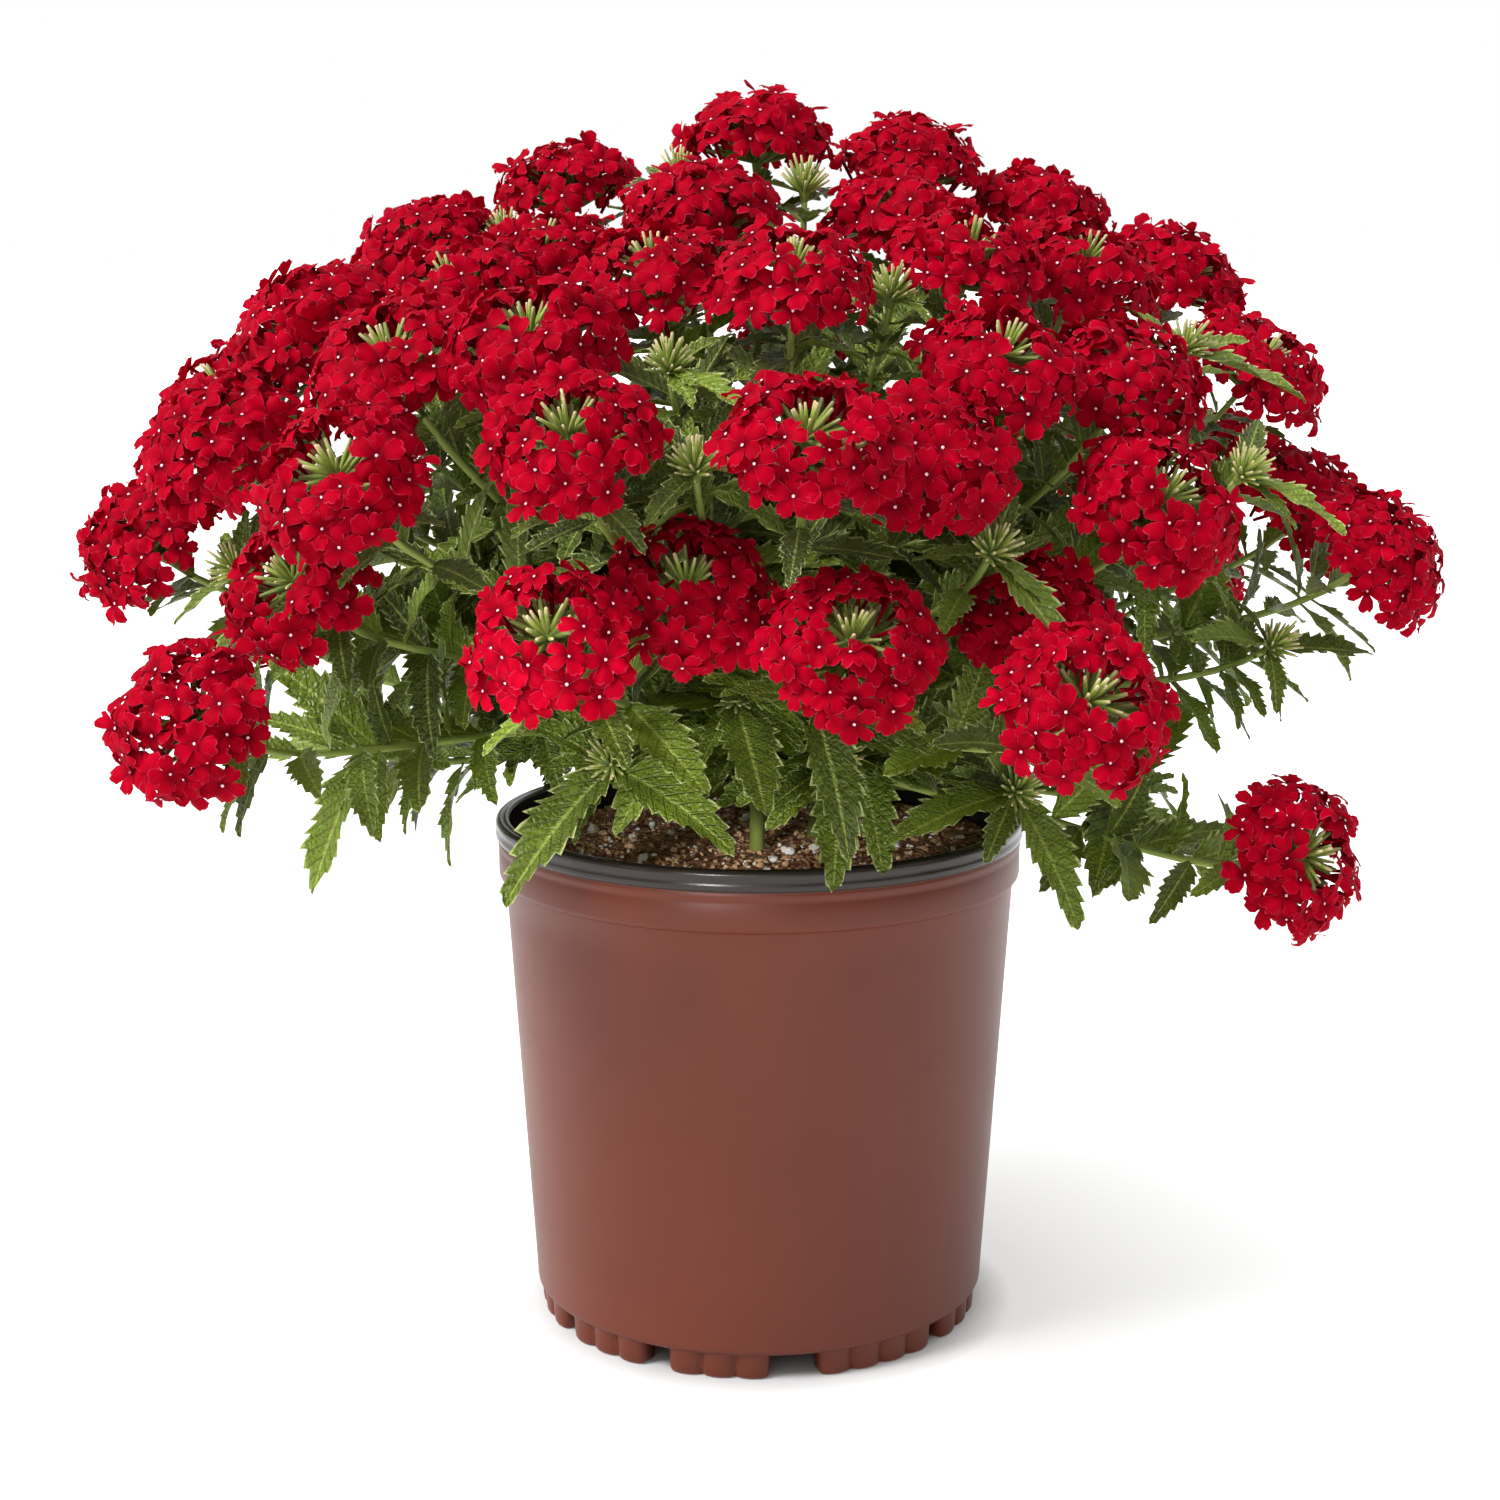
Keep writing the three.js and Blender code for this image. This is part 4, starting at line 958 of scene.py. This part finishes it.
def leaf_sheet(blade, seed, is_fine):
    """A leaf blade with four to eight forward-pointing teeth a side, rounder ones on a fine leaf.

    The half width follows s^0.55 (1 - s)^0.85 / 0.391, which is 1 at its widest, from the end of the
    short stalk, cut in by 0.3 between the teeth. The side veins slant forward, and between them the face
    swells by sin^2 of the way from vein to vein. The edge waves 2.3 times along the leaf.
    """
    draw = np.random.default_rng(seed)
    length, width = blade[3], blade[4]
    teeth = 8 if length > 24 else 6 if length > 16 else 4
    if is_fine:
        notches, depths, v = [0, 0.5, 0.84], [1.0, 0.42, 0.0], np.array([[-1, -0.8, -0.4, 0, 0.4, 0.8, 1]])
    else:
        notches, depths, v = [0, 0.75], [1.0, 0.0], np.array([[-1, -0.6, 0, 0.6, 1]])
    steps = 0.12 + (np.arange(teeth)[:, None] + notches) * TOOTHED / teeth
    u = np.concatenate([[0.0, 0.06], steps.ravel(), [0.975, 1.0]])[:, None]
    cut = np.concatenate([[0, 0.3], np.tile(depths, teeth), [0.7, 0]])[:, None]
    s = np.clip((u - 0.04) / 0.96, 0.0, 1)
    envelope = s**0.55 * (1 - s) ** 0.85 / 0.391
    across = (envelope * (1 - 0.3 * cut * np.abs(v) ** 3) + 0.035) * v
    forward = u + 0.03 * (1 - cut) * np.abs(v) ** 4 * (u > 0.12) * (u < 0.96)
    slant = (u - 0.24 * np.abs(v) * envelope - 0.12) * teeth / TOOTHED
    swell = 0.05 * width * np.sin(math.pi * slant) ** 2 * np.abs(v) * (1.25 - np.abs(v))
    edge = 0.07 * width * np.sin(2 * math.pi * (2.3 * u + draw.uniform() + 0.3 * np.sign(v))) * np.abs(v) ** 2
    points = blade_points(blade, forward, across, swell + edge).reshape(-1, 3)
    offset = points - blade[0]
    side = np.cross(blade[1], blade[2])
    twist = draw.normal(0, 0.16)
    points = points + blade[2] * (twist * (offset @ side) * (offset @ blade[1]) / length)[:, None]
    # extra leaves, most of which stand inside the plant, get a darker green: painted shade
    luck = draw.uniform() - (0.0 if is_fine else 0.25)
    marks = np.stack([slant, v + 0 * u, 0 * u * v + luck], -1).reshape(-1, 3)
    triangles = grid_triangles(len(u), v.size)
    return points, triangles, marks, np.full(len(triangles), LEAF)


def bud_cluster(spot, seed):
    """A tuft of upright green calyces on the end of its stalk, wide at the top. Calyx k leans by
    64 degrees sqrt((k + 0.5) / 38), and stands a golden angle round from the last."""
    draw = np.random.default_rng(seed)
    middle, axis = placed(*spot)
    turn = turned_to(axis)
    foot = middle - axis * (BUD_LENGTH / 2 + 1)
    stalk = foot + axis * np.array([[-1.0], [1.5], [4.5]])
    sheets = [rod(stalk, [1.2, 1.9, 1.4], 6, np.full((3, 3), 0.3), BUD)]
    for k in range(TUFT):
        share = math.sqrt((k + 0.5) / TUFT)
        tilt, azimuth = math.radians(64) * share, k * GOLDEN_ANGLE
        way = leaning(tilt, azimuth) @ turn
        length = draw.uniform(6.6, 9.4) * (1.08 - 0.2 * share)
        start = foot + axis * (3.4 - 2.4 * share) + way * 0.8
        radius, luck, bend = draw.uniform(0.45, 0.65), draw.uniform(0.3, 1.0), axis * draw.uniform(0.0, 0.8)
        points, triangles, marks, _ = finger(start, way, length, radius, luck, bend)
        sheets.append((points, triangles, marks, np.full(len(triangles), BUD)))
    return joined(sheets)


def leaf_material():
    """Verbena leaves: rough and only faintly shining, with sunken side veins, a pale midrib and paler
    edges, and thin enough for a little light to come through. The side veins are painted dark, as painted
    shade in their grooves. The paler edges are partly the fine hairs of the margin and partly a painted
    highlight where the margin catches the light. Side veins lie where the slanted way along the leaf is a
    whole number, so from tooth to tooth.

    The green changes over 8 mm, 1000 / 130. The net of veinlets has meshes of 1.7 mm, 1000 / 600: real
    ones are about 1 mm, too fine to show.
    """
    material, tree, shader = new_material(
        "verbena_leaf", Roughness=0.43, Specular_IOR_Level=0.38, Sheen_Weight=0.02)
    marks = add_node(tree, "ShaderNodeAttribute", attribute_name="marks").outputs["Vector"]
    parts = add_node(tree, "ShaderNodeSeparateXYZ", {"Vector": marks}).outputs
    side = add_node(tree, "ShaderNodeMath", {0: parts["Y"]}, operation="ABSOLUTE").outputs[0]
    count = add_node(tree, "ShaderNodeMath", {0: parts["X"], 1: math.pi}, operation="MULTIPLY").outputs[0]
    wave = add_node(tree, "ShaderNodeMath", {0: count}, operation="COSINE").outputs[0]
    peak = add_node(tree, "ShaderNodeMath", {0: wave}, operation="ABSOLUTE").outputs[0]
    vein, midrib, edge = [
        add_node(tree, "ShaderNodeMapRange",
                 {"Value": value, "From Min": start, "From Max": end}).outputs["Result"]
        for value, start, end in ((peak, 0.95, 1.0), (side, 0.1, 0.02), (side, 0.84, 0.98))
    ]
    place = add_node(tree, "ShaderNodeTexCoord").outputs["Object"]
    mottle = add_node(tree, "ShaderNodeTexNoise", {"Vector": place, "Scale": 130, "Detail": 4}).outputs["Fac"]
    shade = add_node(tree, "ShaderNodeMath", {0: mottle, 1: parts["Z"]}, operation="ADD").outputs[0]
    amount = add_node(tree, "ShaderNodeMapRange",
                      {"Value": shade, "From Min": 0.4, "From Max": 1.5}).outputs["Result"]
    green = add_node(tree, "ShaderNodeMix",
                     {"Factor": amount, "A": linear("#253302"), "B": linear("#778e20")},
                     data_type="RGBA").outputs["Result"]
    net = add_node(tree, "ShaderNodeTexVoronoi", {"Vector": place, "Scale": 600}, feature="DISTANCE_TO_EDGE")
    cell = add_node(tree, "ShaderNodeMapRange",
                    {"Value": net.outputs["Distance"], "From Max": 0.35}).outputs["Result"]
    veinlet = add_node(tree, "ShaderNodeMath", {0: 1.0, 1: cell}, operation="SUBTRACT").outputs[0]
    # the dark of the side veins is painted shade, and the pale edge is partly a painted highlight
    paints = ((veinlet, 0.18, "#93a040"), (vein, 0.34, "#1c2a08"), (midrib, 0.65, "#aab45a"),
              (edge, 0.85, "#c4cc84"))
    for factor, strength, colour in paints:
        part = add_node(tree, "ShaderNodeMath", {0: factor, 1: strength}, operation="MULTIPLY").outputs[0]
        green = add_node(tree, "ShaderNodeMix", {"Factor": part, "A": green, "B": linear(colour)},
                         data_type="RGBA").outputs["Result"]
    tree.links.new(green, shader.inputs["Base Color"])
    height = add_node(tree, "ShaderNodeMath", {0: vein, 1: -1.5, 2: cell},
                      operation="MULTIPLY_ADD").outputs[0]
    bump = add_node(tree, "ShaderNodeBump", {"Height": height, "Strength": 0.7, "Distance": 0.0007})
    tree.links.new(bump.outputs["Normal"], shader.inputs["Normal"])
    glow = add_node(tree, "ShaderNodeBsdfTranslucent", {"Color": linear("#8ea21c")})
    through = add_node(tree, "ShaderNodeMixShader", {0: 0.08, 1: shader.outputs[0], 2: glow.outputs[0]})
    tree.links.new(through.outputs[0], tree.nodes["Material Output"].inputs["Surface"])
    return material


def stem_material():
    """Downy stems: yellow-green, darker in patches of 22 mm, 1000 / 45. The down takes off the shine. Its
    hairs are too fine to show, so it is drawn at 0.8 mm, 1000 / 1200."""
    material, tree, shader = new_material("green_stem", Roughness=0.6, Sheen_Weight=0.08)
    place = add_node(tree, "ShaderNodeTexCoord").outputs["Object"]
    patches = add_node(tree, "ShaderNodeTexNoise", {"Vector": place, "Scale": 45, "Detail": 3}).outputs["Fac"]
    tint = add_node(tree, "ShaderNodeMix",
                    {"Factor": patches, "A": linear("#667a26"), "B": linear("#9aa84e")},
                    data_type="RGBA").outputs["Result"]
    tree.links.new(tint, shader.inputs["Base Color"])
    ridges = add_node(tree, "ShaderNodeTexNoise", {"Vector": place, "Scale": 1200}).outputs["Fac"]
    bump = add_node(tree, "ShaderNodeBump", {"Height": ridges, "Strength": 0.3, "Distance": 0.0003})
    tree.links.new(bump.outputs["Normal"], shader.inputs["Normal"])
    return material


def leafy_shoot(shoot, number):
    """One shoot: its main stem, side stems, leaves and bud clusters, as one sheet. Blades are the CAD
    model's own leaves, and extras are the small ones between them. The main stem is a rounded square."""
    main = main_line(shoot)
    spots = shoot["heads"] + shoot["buds"]
    count = len(shoot["heads"])
    lines = [side_stem(spot, k < count, main) for k, spot in enumerate(spots)]
    ways = np.linspace(0, 1, 24)
    main_points = np.array([main(t) for t in ways])
    square = np.tile([STEM_SIDE * 0.5, STEM_SIDE * 0.6], (len(ways), 4))
    sheets = [rod(main_points, square, 8, np.full((len(ways), 3), 0.5), STEM)]
    ways = np.linspace(0, 1, 16)
    marks = np.stack([ways, 0 * ways, 0 * ways + 0.5], -1)
    for line in lines:
        sheets.append(rod(line(ways), TWIG_RADIUS * (1.08 - 0.32 * ways), 6, marks, STEM))
    blades, extras = [], []
    for k in range(count):
        if spots[k][1] < LOW_HEAD:
            draw = seeded(1000 + 100 * number + k)
            blades += pairs_along(lines[k], JOINTS, LEAF_LENGTH * 0.9, 58, shoot, draw)
    for k, spot in enumerate(shoot["buds"]):
        draw = seeded(2000 + 100 * number + k)
        # the CAD model spends its first five draws on the bud cluster itself
        for _ in range(5):
            draw()
        low = spot[2] < LOW_BUD
        blades += whorl(spot, 4 if low else 2, LEAF_LENGTH * (1 if low else 0.75), shoot, draw)
        extras += whorl(spot, 5 if low else 3, LEAF_LENGTH * 0.5, shoot, draw, True)
        sheets.append(bud_cluster(spot, 7000 + 100 * number + k))
    for k, line in enumerate(lines):
        draw = seeded(5000 + 100 * number + k)
        joints = np.append(np.linspace(0.04, 0.94, 16 if spots[k][1] < 36 else 14), 0.9)
        extras += extra_leaves(line, joints, LEAF_LENGTH, shoot, draw)
    draw = seeded(6000 + number)
    for _ in range(2):
        extras += extra_leaves(lambda way: main(0.45 + 0.55 * way), np.linspace(0.1, 0.95, 7),
                               LEAF_LENGTH, shoot, draw)
    for k, blade in enumerate(blades + extras):
        if blade is not None:
            sheets.append(leaf_sheet(blade, 9000 + 900 * number + k, k < len(blades)))
    return joined(sheets)


green_stem = stem_material()
verbena_leaf = leaf_material()
for number, shoot in enumerate(SHOOTS):
    sheet = leafy_shoot(shoot, number)
    name = shoot["name"]
    materials = [green_stem, verbena_leaf, calyx]
    new_piece(f"leafy_shoot_{name}", sheet, materials, "stems_and_leaves", f"shoot_{name}")
